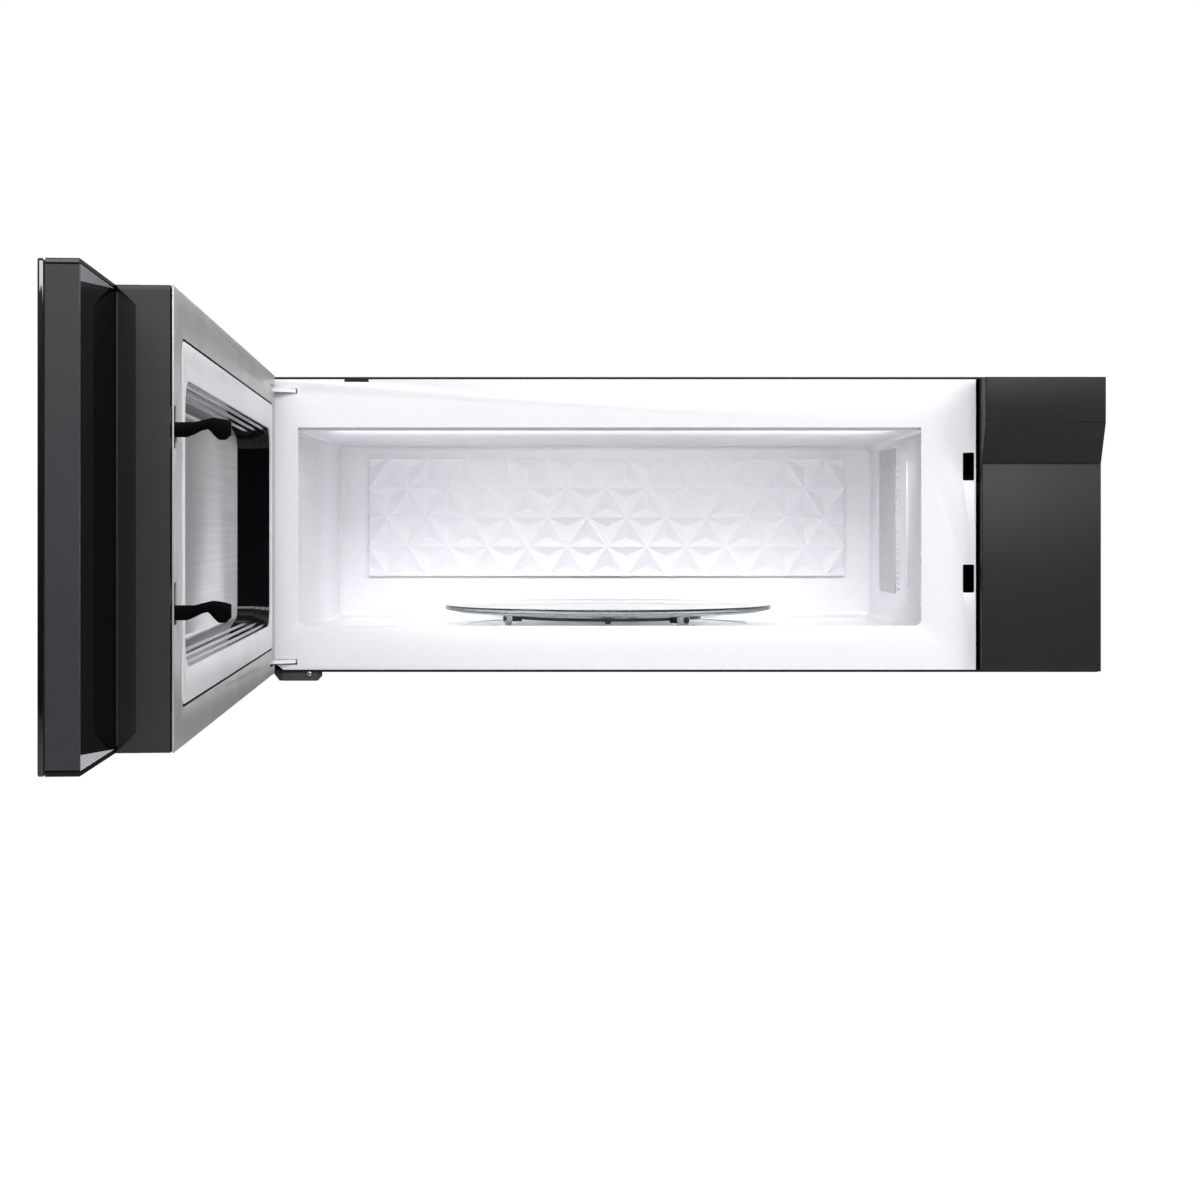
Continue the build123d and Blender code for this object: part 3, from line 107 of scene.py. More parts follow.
def add_node(tree: bpy.types.NodeTree, kind: str, inputs: dict | None = None, **settings) -> bpy.types.Node:
    """Adds a node with its settings and links.

    Args:
        tree: Node tree that gets the node.
        kind: Type name of the node.
        inputs: Socket name or number, to a value or to a pair of a node and its output's name or number.
        settings: Properties of the node itself.

    Returns:
        The new node.
    """
    node = tree.nodes.new(kind)
    for name, value in settings.items():
        setattr(node, name, value)
    for socket, value in (inputs or {}).items():
        if isinstance(value, tuple) and isinstance(value[0], bpy.types.Node):
            tree.links.new(value[0].outputs[value[1]], node.inputs[socket])
        else:
            node.inputs[socket].default_value = value
    return node


@dataclass(frozen=True)
class Finish:
    """A finish of one material: its colour, its sheen, and a fine grain over a slow drift of tone.

    grain is the spacing of the fine texture and relief its height, drift the spacing of the slow tone
    change, all in millimetres. stretch lengthens the grain along X, Y and Z, as rolling or drawing does.
    """

    name: str
    colour: str
    second: str
    roughness: float
    grain: float = 1.5
    relief: float = 0.02
    drift: float = 70.0
    spread: float = 0.06
    metallic: float = 0.0
    coat: float = 0.0
    coat_roughness: float = 0.05
    ior: float | None = None
    transmission: float = 0.0
    stretch: tuple[float, float, float] = (1.0, 1.0, 1.0)

    def material(self) -> bpy.types.Material:
        """Gives the finish's material, made on its first use.

        Returns:
            The shared material.
        """
        made = bpy.data.materials.get(self.name)
        return made if made else self.make()

    def make(self) -> bpy.types.Material:
        """Makes the node tree: two tones mixed by a slow noise, and a fine noise for sheen and relief.

        Returns:
            The new material.
        """
        material = bpy.data.materials.new(self.name)
        material.use_nodes = True
        tree = material.node_tree
        tree.nodes.clear()
        place = add_node(tree, "ShaderNodeTexCoord")
        squeeze = tuple(1 / s for s in self.stretch)
        laid = add_node(tree, "ShaderNodeMapping", {"Vector": (place, "Object"), "Scale": squeeze})
        slow = add_node(tree, "ShaderNodeTexNoise",
                        {"Vector": (place, "Object"), "Scale": 1000 / self.drift, "Detail": 3.0})
        fine = add_node(tree, "ShaderNodeTexNoise",
                        {"Vector": (laid, "Vector"), "Scale": 1000 / self.grain, "Detail": 2.0})
        both = add_node(tree, "ShaderNodeMath", {0: (slow, "Fac"), 1: (fine, "Fac")}, operation="MULTIPLY")
        share = add_node(tree, "ShaderNodeMapRange",
                         {"Value": (both, "Value"), "From Min": 0.12, "From Max": 0.40})
        tone = add_node(tree, "ShaderNodeMix",
                        {0: (share, "Result"), 6: linear(self.colour), 7: linear(self.second)},
                        data_type="RGBA")
        sheen = add_node(tree, "ShaderNodeMapRange",
                         {"Value": (fine, "Fac"), "From Min": 0.3, "From Max": 0.7,
                          "To Min": max(0.02, self.roughness - self.spread),
                          "To Max": min(1.0, self.roughness + self.spread)})
        bump = add_node(tree, "ShaderNodeBump",
                        {"Height": (fine, "Fac"), "Strength": 1.0, "Distance": self.relief * MM})
        inputs = {"Base Color": (tone, 2), "Roughness": (sheen, "Result"), "Normal": (bump, "Normal"),
                  "Metallic": self.metallic,
                  "Coat Weight": self.coat, "Coat Roughness": self.coat_roughness,
                  "Transmission Weight": self.transmission}
        if self.ior:
            inputs["IOR"] = self.ior
        shader = add_node(tree, "ShaderNodeBsdfPrincipled", inputs)
        add_node(tree, "ShaderNodeOutputMaterial", {"Surface": (shader, "BSDF")})
        return material


# Finishes

# Vitreous enamel on sheet steel: hard white gloss with a faint orange peel that breaks up reflections.
# The peel is about 1 mm wide on the real one and is drawn at 2.5 mm so that it shows.
ENAMEL = Finish("vitreous_enamel", "F7F8FB", "F4F5F9", 0.26, grain=2.5, relief=0.002, drift=160, spread=0.03)
# The same enamel inside the cavity, drawn a shade cooler and a little duller as painted shade for the inside
# of the cavity.
CAVITY_ENAMEL_PAINTED_SHADE = Finish("cavity_enamel_painted_shade", "F2F2F5", "ECECF0", 0.2, grain=2.5, relief=0.003, drift=120,
                       spread=0.04)
# Moulded ABS with a spark-eroded satin skin: dark grey, soft wide highlights, 0.8 mm grain drawn at 1.2 mm.
SATIN_ABS = Finish("satin_abs", "28292C", "2D2E31", 0.46, grain=1.2, relief=0.012, drift=90, spread=0.05,
                   ior=1.42)
# The same skin on the right column, a shade darker.
COLUMN_ABS = replace(SATIN_ABS, name="column_abs", colour="131416", second="17181A")
# The same skin on the hinge's foot, drawn lighter as painted light, and a little duller.
FOOT_ABS_PAINTED_LIGHT = replace(SATIN_ABS, name="foot_abs_painted_light", colour="3E3F40", second="444546", roughness=0.5, drift=40)
# The same ABS polished in the mould: near black, sharp reflections.
GLOSS_ABS = Finish("polished_abs", "040507", "06070A", 0.07, grain=6.0, relief=0.002, drift=200, spread=0.02,
                   ior=1.34)
# Silver paint on the slanted ends of the handle pocket, drawn brighter as a painted reflection of white
# surroundings.
SILVER_TRIM_PAINTED_REFLECTION = Finish("silver_trim_painted_reflection", "E6E8EA", "DCDFE2", 0.3, grain=1.0, relief=0.006, drift=40)
# Black moulded nylon: low sheen, slightly mottled from the fibre filling.
NYLON = Finish("filled_nylon", "030304", "060607", 0.4, grain=1.2, relief=0.006, drift=30, spread=0.05,
               ior=1.1)
# Light grey polypropylene: waxy, soft sheen, flow marks across the part.
POLYPROPYLENE = Finish("grey_polypropylene", "E8E9EB", "DDDEE0", 0.38, grain=1.8, relief=0.01, drift=60)
# Metallic paint on the inner door: silver grey flake, whose grain stands about 0.5 mm and is drawn at 1 mm.
SILVER_PAINT = Finish("silver_metallic_paint", "B9B9B6", "A9A9A7", 0.38, grain=1.0, relief=0.01, drift=40,
                      metallic=0.35, spread=0.1)
# Inside of the choke channel: drawn near black and dull as painted shade, so that the gap round the cover
# reads as a black line.
CHANNEL_PAINTED_SHADE = Finish("channel_painted_shade", "0C0C0D", "121213", 0.7, grain=1.4, relief=0.02, drift=40, ior=1.3)
# Pane of the inner window: clear sheet drawn pale as painted light on the screen behind it, with soft level
# bands painted like the rows of the screen.
WINDOW_PAINTED_LIGHT = Finish("window_painted_light", "FAFAFB", "DCDEE0", 0.12, grain=3.4, relief=0.001, drift=400,
                     spread=0.02, ior=1.5, transmission=0.08, stretch=(90.0, 90.0, 1.0))
# Screen sheet in the door: the inner door's paint, baked a shade darker and duller.
SCREEN_PAINT = Finish("screen_paint", "B4B6B9", "A4A6AA", 0.45, grain=1.0, relief=0.01, drift=40,
                      metallic=0.3)
# Powder coat on the case: black, slightly rough, with the fine leather of the powder.
POWDER_COAT = Finish("black_powder_coat", "0A0A0C", "111113", 0.5, grain=1.2, relief=0.03, drift=50,
                     spread=0.1, ior=1.35)
# Zinc-plated sheet: dull silver with soft cloudy spangle of 12 mm.
ZINC = Finish("zinc_plated_steel", "B7BABD", "9DA0A4", 0.36, grain=12.0, relief=0.004, drift=25, metallic=1.0,
              spread=0.1)
# Turned steel: brighter, with rings too fine to see but for a directional sheen.
TURNED_STEEL = Finish("turned_steel", "C4C4C6", "ABABAE", 0.25, grain=0.8, relief=0.01, drift=15,
                      metallic=1.0, stretch=(1.0, 1.0, 0.15))
# Expanded aluminium: bright layers with oil-dulled patches.
ALUMINIUM_MESH = Finish("expanded_aluminium", "D2D4D6", "B4B7BA", 0.35, grain=1.4, relief=0.05, drift=20,
                        metallic=1.0, spread=0.12)
# Pressed glass of the tray: clear with the green of its iron.
TRAY_GLASS = Finish("pressed_glass", "EAF3F0", "E1EDE9", 0.04, grain=8.0, relief=0.01, drift=60, spread=0.02,
                    ior=1.5, transmission=1.0)
# Tempered front glass over black ceramic print: deep black under a flat clear skin.
PRINTED_GLASS = Finish("black_printed_glass", "08090C", "0B0C10", 0.05, grain=30.0, relief=0.002, drift=200,
                       spread=0.01, coat=1.0, ior=1.5)
# The unprinted part of the same glass, grey-tinted.
TINTED_GLASS = Finish("tinted_glass", "5A5F66", "545960", 0.03, grain=30.0, relief=0.002, drift=200,
                      spread=0.01, ior=1.5, transmission=1.0)
# Lenses of the cooktop lamps: plain float glass.
CLEAR_GLASS = Finish("float_glass", "E9F0F0", "E4ECEC", 0.03, grain=30.0, relief=0.001, drift=200,
                     spread=0.01, ior=1.5, transmission=1.0)
# Acetal of the roller ring: dark brown, slippery low gloss.
ACETAL = Finish("brown_acetal", "2A2322", "332A28", 0.35, grain=1.5, relief=0.008, drift=25)
# PTFE rollers: milky white, waxy.
PTFE = Finish("ptfe", "D9DADC", "CDCED1", 0.3, grain=1.2, relief=0.006, drift=10)
# Pressed mica: grey-brown flakes of 2 to 6 mm in a dull sheet with a slight pearl.
MICA = Finish("pressed_mica", "D2CFD2", "C2BFC2", 0.42, grain=4.0, relief=0.03, drift=9, spread=0.12)
# Varnished laminations of motors and the transformer: dark steel with the stripes of 0.5 mm sheets, drawn
# at 1.5 mm.
LAMINATIONS = Finish("varnished_laminations", "4A474A", "343236", 0.4, grain=1.5, relief=0.04, drift=20,
                     metallic=0.7, stretch=(8.0, 8.0, 1.0))
# Cast and stamped aluminium of the magnetron: matt silver.
CAST_ALUMINIUM = Finish("cast_aluminium", "C5C7C9", "AFB2B5", 0.4, grain=1.0, relief=0.02, drift=18,
                        metallic=1.0)
# Solder resist on glass-epoxy board: green with copper runs ghosting through.
BOARD = Finish("solder_resist", "17603A", "0E4A2B", 0.3, grain=3.0, relief=0.02, drift=8)
# Foam tape: matt black, open pores of about 0.5 mm drawn at 1 mm.
FOAM = Finish("foam_tape", "0B0B0C", "141415", 0.85, grain=1.0, relief=0.06, drift=12)
# Sintered bronze: warm, dull, oil-dark in its pores.
BRONZE = Finish("sintered_bronze", "B08B4F", "94713D", 0.38, grain=0.9, relief=0.02, drift=6, metallic=1.0)
# Drawn spring wire: bright grey along the wire.
SPRING_WIRE = Finish("spring_wire", "A9A9AC", "8E8E92", 0.28, grain=0.8, relief=0.01, drift=6, metallic=1.0)
# Charcoal granules behind a black net.
CHARCOAL = Finish("charcoal_pad", "101011", "1E1E20", 0.8, grain=3.0, relief=0.25, drift=12, spread=0.1)
# White screen-print ink on the front glass, for numbers and the clock.
INK = Finish("print_ink", "C9CDD2", "C2C6CB", 0.5, grain=1.0, relief=0.001, drift=20)


# Modelling

def spot(across: float, behind: float, height: float) -> Vector:
    """Gives the row-frame place, in metres, of a place on the body in millimetres."""
    return Vector((across, behind - DEPTH, height - HEIGHT / 2)) * MM


def measured(place: Vector) -> Vector:
    """Turns a row-frame place back into across, behind and height, in millimetres."""
    return place / MM + Vector((0.0, DEPTH, HEIGHT / 2))


def hold(*objects: bpy.types.Object) -> None:
    """Makes these the only selected objects, with the first one active."""
    bpy.ops.object.select_all(action="DESELECT")
    for obj in objects:
        obj.select_set(True)
    bpy.context.view_layer.objects.active = objects[0]


def settle(obj: bpy.types.Object, name: str) -> bpy.types.Object:
    """Names an object and puts its place into its mesh.

    Args:
        obj: Object to settle.
        name: Its new name.

    Returns:
        The same object, at the origin, unturned and unscaled.
    """
    obj.name = name
    obj.data.name = name
    hold(obj)
    bpy.ops.object.transform_apply(location=True, rotation=True, scale=True)
    return obj


def block(name: str, across: Range, behind: Range, height: Range) -> bpy.types.Object:
    """Adds a box on the body, from cube to final size.

    Args:
        name: Name of the object.
        across: Left and right ends.
        behind: Front and back ends.
        height: Bottom and top ends.

    Returns:
        The box.
    """
    low = spot(across[0], behind[0], height[0])
    high = spot(across[1], behind[1], height[1])
    bpy.ops.object.select_all(action="DESELECT")
    bpy.ops.mesh.primitive_cube_add(size=1.0, location=(low + high) / 2, scale=high - low)
    return settle(bpy.context.active_object, name)


def door_block(name: str, along: Range, outward: Range, height: Range) -> bpy.types.Object:
    """Adds a box on the shut door.

    Args:
        name: Name of the object.
        along: Ends along the door, from its hinge side.
        outward: Ends outward from the door's inner face.
        height: Bottom and top ends.

    Returns:
        The box.
    """
    behind = (-DOOR_GAP - outward[1], -DOOR_GAP - outward[0])
    return block(name, (along[0] - HALF, along[1] - HALF), behind, height)


def rounded_block(name: str, along: Range, outward: Range, height: Range, corner: float,
                  segments: int) -> bpy.types.Object:
    """Adds a box on the shut door with its four corners rounded.

    Args:
        name: Name of the object.
        along: Ends along the door, from its hinge side.
        outward: Ends outward from the door's inner face.
        height: Bottom and top ends.
        corner: Radius of the corners.
        segments: Faces round a corner.

    Returns:
        The box.
    """
    box = door_block(name, along, outward, height)
    return round_edges(box, lambda p, d: parallel(d, 1), corner, segments)


def shrunk(ends: Range, inset: float) -> Range:
    """Brings two ends closer together, each by an inset."""
    return ends[0] + inset, ends[1] - inset


def disc(name: str, centre: Vector, axis: Vector, length: float, radius: float,
         sides: int) -> bpy.types.Object:
    """Adds a cylinder on the body.

    Args:
        name: Name of the object.
        centre: Its middle: across, behind, height.
        axis: Direction of its axis.
        length: Length along the axis.
        radius: Radius.
        sides: Number of sides.

    Returns:
        The cylinder.
    """
    bpy.ops.object.select_all(action="DESELECT")
    turn = UP.rotation_difference(axis).to_euler()
    bpy.ops.mesh.primitive_cylinder_add(vertices=sides, radius=radius * MM, depth=length * MM,
                                        location=spot(*centre), rotation=turn)
    return settle(bpy.context.active_object, name)


def work(obj: bpy.types.Object, pick: Pick, test: Callable[[Vector, Vector], bool],
         *steps: Callable[[], object]) -> bpy.types.Object:
    """Selects faces or edges by place and direction, and runs operators on them in edit mode.

    Args:
        obj: Object to work on.
        pick: Whether faces or edges are selected.
        test: Takes a face's or edge's middle in millimetres and its normal or direction.
        steps: Operators to run, in order.

    Returns:
        The same object.
    """
    hold(obj)
    mesh = obj.data
    for group in (mesh.vertices, mesh.edges, mesh.polygons):
        group.foreach_set("select", [False] * len(group))
    if pick is Pick.FACES:
        for face in mesh.polygons:
            face.select = test(measured(face.center), face.normal)
    else:
        for edge in mesh.edges:
            start, end = (mesh.vertices[at].co for at in edge.vertices)
            edge.select = test(measured((start + end) / 2), (end - start).normalized())
    bpy.context.tool_settings.mesh_select_mode = pick.value
    bpy.ops.object.mode_set(mode="EDIT")
    for step in steps:
        step()
    bpy.ops.object.mode_set(mode="OBJECT")
    return obj


def round_edges(obj: bpy.types.Object, test: Callable[[Vector, Vector], bool], radius: float,
                segments: int = 4) -> bpy.types.Object:
    """Rounds the edges that pass a test to a radius in millimetres, and gives the object back."""
    return work(obj, Pick.EDGES, test,
                lambda: bpy.ops.mesh.bevel(offset=radius * MM, segments=segments, affect="EDGES"))


def insets(*steps: tuple[float, float], **settings) -> list[Callable[[], object]]:
    """Gives an inset of the selected faces for each pair of a width and a depth in millimetres."""
    return [partial(bpy.ops.mesh.inset, thickness=width * MM, depth=depth * MM, **settings)
            for width, depth in steps]


def divide(obj: bpy.types.Object, place: Vector, normal: Place, **settings) -> None:
    """Cuts all the faces of an object along a plane; clear_outer removes what lies past it."""
    work(obj, Pick.FACES, lambda p, n: True,
         partial(bpy.ops.mesh.bisect, plane_co=place, plane_no=normal, **settings))


def paint(obj: bpy.types.Object, first: Finish, second: Finish,
          test: Callable[[Vector, Vector], bool]) -> None:
    """Gives an object two finishes, the second where a face's middle and normal pass a test."""
    obj.data.materials.append(first.material())
    obj.data.materials.append(second.material())
    for face in obj.data.polygons:
        face.material_index = int(test(measured(face.center), face.normal))


def apply(obj: bpy.types.Object, kind: str, **settings) -> bpy.types.Object:
    """Adds a modifier with its settings and applies it.

    Args:
        obj: Object that gets the modifier.
        kind: Type of the modifier.
        settings: Its settings.

    Returns:
        The same object.
    """
    hold(obj)
    modifier = obj.modifiers.new(kind.lower(), kind)
    for name, value in settings.items():
        setattr(modifier, name, value)
    bpy.ops.object.modifier_apply(modifier=modifier.name)
    return obj


def repeat(obj: bpy.types.Object, count: int, step: Place, **settings) -> bpy.types.Object:
    """Repeats an object's mesh a number of times, each a step in millimetres from the last."""
    return apply(obj, "ARRAY", count=count, use_relative_offset=False, use_constant_offset=True,
                 constant_offset_displace=tuple(s * MM for s in step), **settings)


def carve(obj: bpy.types.Object, *cutters: bpy.types.Object) -> bpy.types.Object:
    """Cuts other objects out of one and removes them."""
    for cutter in cutters:
        apply(obj, "BOOLEAN", object=cutter, operation="DIFFERENCE", solver="EXACT")
        bpy.data.objects.remove(cutter)
    return obj


def weld(obj: bpy.types.Object, *others: bpy.types.Object) -> bpy.types.Object:
    """Unites other objects with one and removes them."""
    for other in others:
        apply(obj, "BOOLEAN", object=other, operation="UNION", solver="EXACT")
        bpy.data.objects.remove(other)
    return obj


def join(obj: bpy.types.Object, *others: bpy.types.Object) -> bpy.types.Object:
    """Puts other objects into one object, each with its own closed shell."""
    hold(obj, *others)
    bpy.ops.object.join()
    return obj


def soften(obj: bpy.types.Object, width: float, segments: int = 2, angle: float = 30.0) -> bpy.types.Object:
    """Breaks every edge sharper than an angle, and smooths the shading across shallower ones.

    Args:
        obj: Object to soften.
        width: Width of the broken edge in millimetres.
        segments: Faces across it.
        angle: Least angle of the edges, in degrees.

    Returns:
        The same object.
    """
    apply(obj, "BEVEL", width=width * MM, segments=segments, limit_method="ANGLE",
          angle_limit=math.radians(angle))
    hold(obj)
    bpy.ops.object.shade_smooth_by_angle(angle=math.radians(angle))
    return obj


def clone(obj: bpy.types.Object, name: str, move: Matrix) -> bpy.types.Object:
    """Copies a piece with its own mesh to another place.

    Args:
        obj: Piece to copy.
        name: Name of the copy.
        move: Where the copy goes, from the piece's place.

    Returns:
        The copy.
    """
    copy = obj.copy()
    copy.data = obj.data.copy()
    bpy.context.scene.collection.objects.link(copy)
    copy.matrix_world = move @ copy.matrix_world
    return settle(copy, name)


def about(centre: Vector, axis: str, degrees: float) -> Matrix:
    """Gives the turn about an upright, level or other axis through a place on the body."""
    here = Matrix.Translation(spot(*centre))
    return here @ Matrix.Rotation(math.radians(degrees), 4, axis) @ here.inverted()


def swing(obj: bpy.types.Object) -> bpy.types.Object:
    """Turns a piece of the shut door to where the open door stands."""
    hinge = Vector((HINGE_ALONG - HALF, -DOOR_GAP - HINGE_OUTWARD, 0.0))
    obj.matrix_world = about(hinge, "Z", -DOOR_ANGLE) @ obj.matrix_world
    return settle(obj, obj.name)


def deliver(obj: bpy.types.Object, body: Body, finish: Finish, slot: str, *nodes: str) -> bpy.types.Object:
    """Gives a finished piece its material, its body and the solids that it stands for.

    Args:
        obj: Finished piece.
        body: Body that it moves with.
        finish: Its finish.
        slot: Material slot of the record; not used.
        nodes: Solids that it replaces.

    Returns:
        The same piece.
    """
    if not obj.data.materials:
        obj.data.materials.append(finish.material())
    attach(obj, body.value)
    if nodes:
        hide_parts(*nodes)
    LOG.info("%s: %d faces, on %s", obj.name, len(obj.data.polygons), body.value)
    return obj


def parallel(direction: Vector, axis: int) -> bool:
    """Tells whether an edge runs along axis 0, 1 or 2."""
    return abs(direction[axis]) > 0.999


# Sub-assemblies

@dataclass
class FrontFrame:
    """White plate round the mouth of the cavity, with its lip, its latch slots and the hinge tabs' slots."""

    across: Range = (-378.0, 271.9)
    height: Range = (2.0, 258.35)
    sheet: float = 1.2
    mouth_across: Range = (-326.7, 223.7)
    mouth_height: Range = (40.7, 215.8)
    mouth_corner: float = 6.5
    lip: float = 5.4
    latch_across: Range = (260.4, 270.3)
    latch_heights: tuple[Range, Range] = ((70.1, 94.8), (169.1, 193.6))
    tab_across: Range = (-370.0, -327.0)
    tab_heights: tuple[Range, Range] = ((6.5, 11.6), (245.9, 250.1))
    slot_corner: float = 1.0
    notch_end: float = -345.0
    notch_top: float = 8.0
    notch_slant: float = 5.5
    cover_tab: Range = (-285.4, -264.1)
    cover_tab_low: float = 256.0
    edge: float = 0.35

    def build(self) -> None:
        """Builds the plate with its lip and dresses it."""
        plate = block("front_frame", self.across, (0.0, self.sheet), self.height)
        weld(plate, block("lip", shrunk(self.mouth_across, -1), (self.sheet / 2, self.lip),
                          shrunk(self.mouth_height, -1)))
        mouth = block("mouth", self.mouth_across, (-2.0, self.lip + 2), self.mouth_height)
        bottom = self.mouth_height[0] + 1
        round_edges(mouth, lambda p, d: parallel(d, 1) and p.z < bottom, self.mouth_corner, 8)
        carve(plate, mouth)
        through = (-2.0, 4.0)
        for low, high in self.latch_heights:
            slot = block("slot", self.latch_across, through, (low, high))
            carve(plate, round_edges(slot, lambda p, d: parallel(d, 1), self.slot_corner, 3))
        for low, high in self.tab_heights:
            carve(plate, block("slot", self.tab_across, through, (low, high)))
        carve(plate, block("notch", (self.across[0] - 1, self.notch_end), through, (-1.0, self.notch_top)),
              block("notch", self.cover_tab, through, (self.cover_tab_low, self.height[1] + 2)))
        round_edges(plate, lambda p, d: parallel(d, 1) and abs(p.x - self.notch_end) < 0.5 and p.z < 3,
                    self.notch_slant, 1)
        soften(plate, self.edge)
        deliver(plate, Body.CABINET, ENAMEL, "white_enamel", "front_frame")


@dataclass
class Cavity:
    """Welded cavity: stamped ceiling, faceted back, roller track and the lamp's small holes.

    ceiling_steps gives each stamped step's inset from the ceiling's sides, its front and its drop.
    """

    across: Range = (-331.0, 226.0)
    depth: float = 336.0
    height: Range = (34.7, 213.5)
    corner: float = 6.0
    wall: float = 1.0
    front: float = 1.25
    throat: float = 6.5
    flange_rise: float = 4.5
    mouth_across: Range = (-327.75, 224.75)
    mouth_height: Range = (39.65, 216.85)
    ceiling_across: Range = (-306.0, 204.0)
    ceiling_steps: tuple[Place, ...] = ((0.0, 60.0, 1.4), (9.0, 160.0, 2.8))
    ceiling_corner: float = 1.1
    facet_middle: float = -51.3
    facet_width: float = 498.0
    facet_height: Range = (78.0, 200.5)
    facet_columns: int = 12
    facet_rows: int = 4
    facet_relief: float = 7.5
    facet_sink: float = 0.85
    track_radius: float = 136.0
    track_bead: float = 1.6
    track_sink: float = 0.7
    turntable_back: float = 175.0
    hole_radius: float = 1.4
    hole_start: tuple[float, float] = (138.0, 68.4)
    hole_counts: tuple[int, int] = (4, 24)
    hole_steps: tuple[float, float] = (5.0, 5.4)
    ridge_behind: Range = (92.8, 95.2)
    ridge_height: Range = (74.0, 190.0)
    mica_behind: Range = (162.0, 267.0)
    mica_height: Range = (64.5, 205.0)
    mica_corner: float = 4.0

    def liner(self) -> bpy.types.Object:
        """Makes the open box with its stepped ceiling.

        Returns:
            The liner without its small holes.
        """
        low, high = self.height
        shell = block("cavity_liner", shrunk(self.across, -self.wall), (self.front, self.depth + self.wall),
                      (low - self.wall, high + self.flange_rise))
        roof = block("roof", (-HALF, HALF), (self.throat + 1.0, self.depth + 3),
                     (high + self.wall, high + self.flange_rise + 12))
        hollow = block("hollow", self.across, (self.throat - 0.5, self.depth), self.height)
        round_edges(hollow, lambda p, d: p.y > self.throat, self.corner, 5)
        mouth = block("mouth", self.mouth_across, (0.0, self.throat), self.mouth_height)
        carve(shell, roof, hollow, mouth)
        soften(shell, 0.3)
        pads = []
        for inset, front, drop in self.ceiling_steps:
            pad = block("ceiling_pad", shrunk(self.ceiling_across, inset), (front, self.depth - 0.5),
                        (high - drop, high + 0.4))
            pads.append(round_edges(pad, lambda p, d: abs(p.z - high + drop) < 0.05, self.ceiling_corner, 3))
        for pad in pads:
            hold(pad)
            bpy.ops.object.shade_smooth_by_angle(angle=math.radians(40))
        return join(shell, *pads)

    def track(self) -> bpy.types.Object:
        """Makes the pressed ring in the floor.

        Returns:
            The ring.
        """
        bpy.ops.object.select_all(action="DESELECT")
        bpy.ops.mesh.primitive_torus_add(
            major_radius=self.track_radius * MM, minor_radius=self.track_bead * MM, major_segments=144,
            minor_segments=12,
            location=spot(self.facet_middle, self.turntable_back, self.height[0] - self.track_sink))
        ring = settle(bpy.context.active_object, "track")
        bpy.ops.object.shade_smooth()
        return ring

    def holes(self) -> bpy.types.Object:
        """Makes the cutter for the lamp's columns of small holes.

        Returns:
            The cutter.
        """
        pin = disc("pin", Vector((self.across[1] + 0.5, *self.hole_start)), ACROSS, 4.0, self.hole_radius, 10)
        repeat(pin, self.hole_counts[0], (0.0, self.hole_steps[0], 0.0))
        return repeat(pin, self.hole_counts[1], (0.0, 0.0, self.hole_steps[1]))

    def facets(self) -> bpy.types.Object:
        """Makes the faceted relief of the back: a triangle lattice whose triangles are each sunk to a point.

        Returns:
            The relief, closed behind.
        """
        pitch = self.facet_width / self.facet_columns
        columns = self.facet_columns + 2
        low, high = self.facet_height
        tall = high - low
        bpy.ops.object.select_all(action="DESELECT")
        middle = spot(self.facet_middle, self.depth - self.facet_relief, (low + high) / 2)
        bpy.ops.mesh.primitive_grid_add(x_subdivisions=columns, y_subdivisions=self.facet_rows, size=1.0,
                                        location=middle, rotation=(math.radians(90), 0, 0))
        sheet = bpy.context.active_object
        sheet.scale = (columns * pitch * MM, tall * MM, 1.0)
        settle(sheet, "back_wall_facets")
        shifted = [low + tall / self.facet_rows * row for row in range(0, self.facet_rows + 1, 2)]
        work(sheet, Pick.EDGES, lambda p, d: parallel(d, 0) and min(abs(p.z - z) for z in shifted) < 1,
             lambda: bpy.ops.transform.translate(value=(pitch / 2 * MM, 0, 0)))
        work(sheet, Pick.FACES, lambda p, n: True,
             lambda: bpy.ops.mesh.quads_convert_to_tris(quad_method="SHORTEST_DIAGONAL"),
             lambda: bpy.ops.mesh.poke(offset=-self.facet_relief * self.facet_sink * MM))
        for side in (-1, 1):
            edge = spot(self.facet_middle + side * self.facet_width / 2, 0, 0)
            divide(sheet, edge, (side, 0, 0), clear_outer=True)
        back = spot(0, self.depth + 0.3, 0)
        work(sheet, Pick.FACES, lambda p, n: True,
             lambda: bpy.ops.mesh.select_all(action="SELECT"),
             lambda: bpy.ops.mesh.region_to_loop(),
             lambda: bpy.ops.mesh.extrude_edges_move(),
             lambda: bpy.ops.transform.resize(value=(1, 0, 1), center_override=back),
             lambda: bpy.ops.mesh.edge_face_add(),
             lambda: bpy.ops.mesh.select_all(action="SELECT"),
             lambda: bpy.ops.mesh.normals_make_consistent(inside=False))
        return soften(sheet, 0.5, 2, 8.0)

    def mica(self) -> bpy.types.Object:
        """Makes the mica sheet over the microwave inlet.

        Returns:
            The sheet.
        """
        sheet = block("waveguide_cover", (self.across[1] - 0.8, self.across[1] - 0.1), self.mica_behind,
                      self.mica_height)
        round_edges(sheet, lambda p, d: parallel(d, 0), self.mica_corner, 5)
        return soften(sheet, 0.15, 1)

    def build(self) -> None:
        """Builds the cavity's pieces and dresses them."""
        shell = carve(self.liner(), self.holes())
        ridge = block("ridge", (self.across[1] - 0.9, self.across[1] + 0.3), self.ridge_behind,
                      self.ridge_height)
        round_edges(ridge, lambda p, d: p.x < self.across[1] - 0.5, 0.7, 3)
        join(shell, self.track(), ridge)
        # The liner and the back's facets take the cavity's enamel, drawn darker as painted shade.
        deliver(shell, Body.CABINET, CAVITY_ENAMEL_PAINTED_SHADE, "white_enamel", "cavity_liner")
        deliver(self.facets(), Body.CABINET, CAVITY_ENAMEL_PAINTED_SHADE, "white_enamel")
        deliver(self.mica(), Body.CABINET, MICA, "mica", "waveguide_cover")


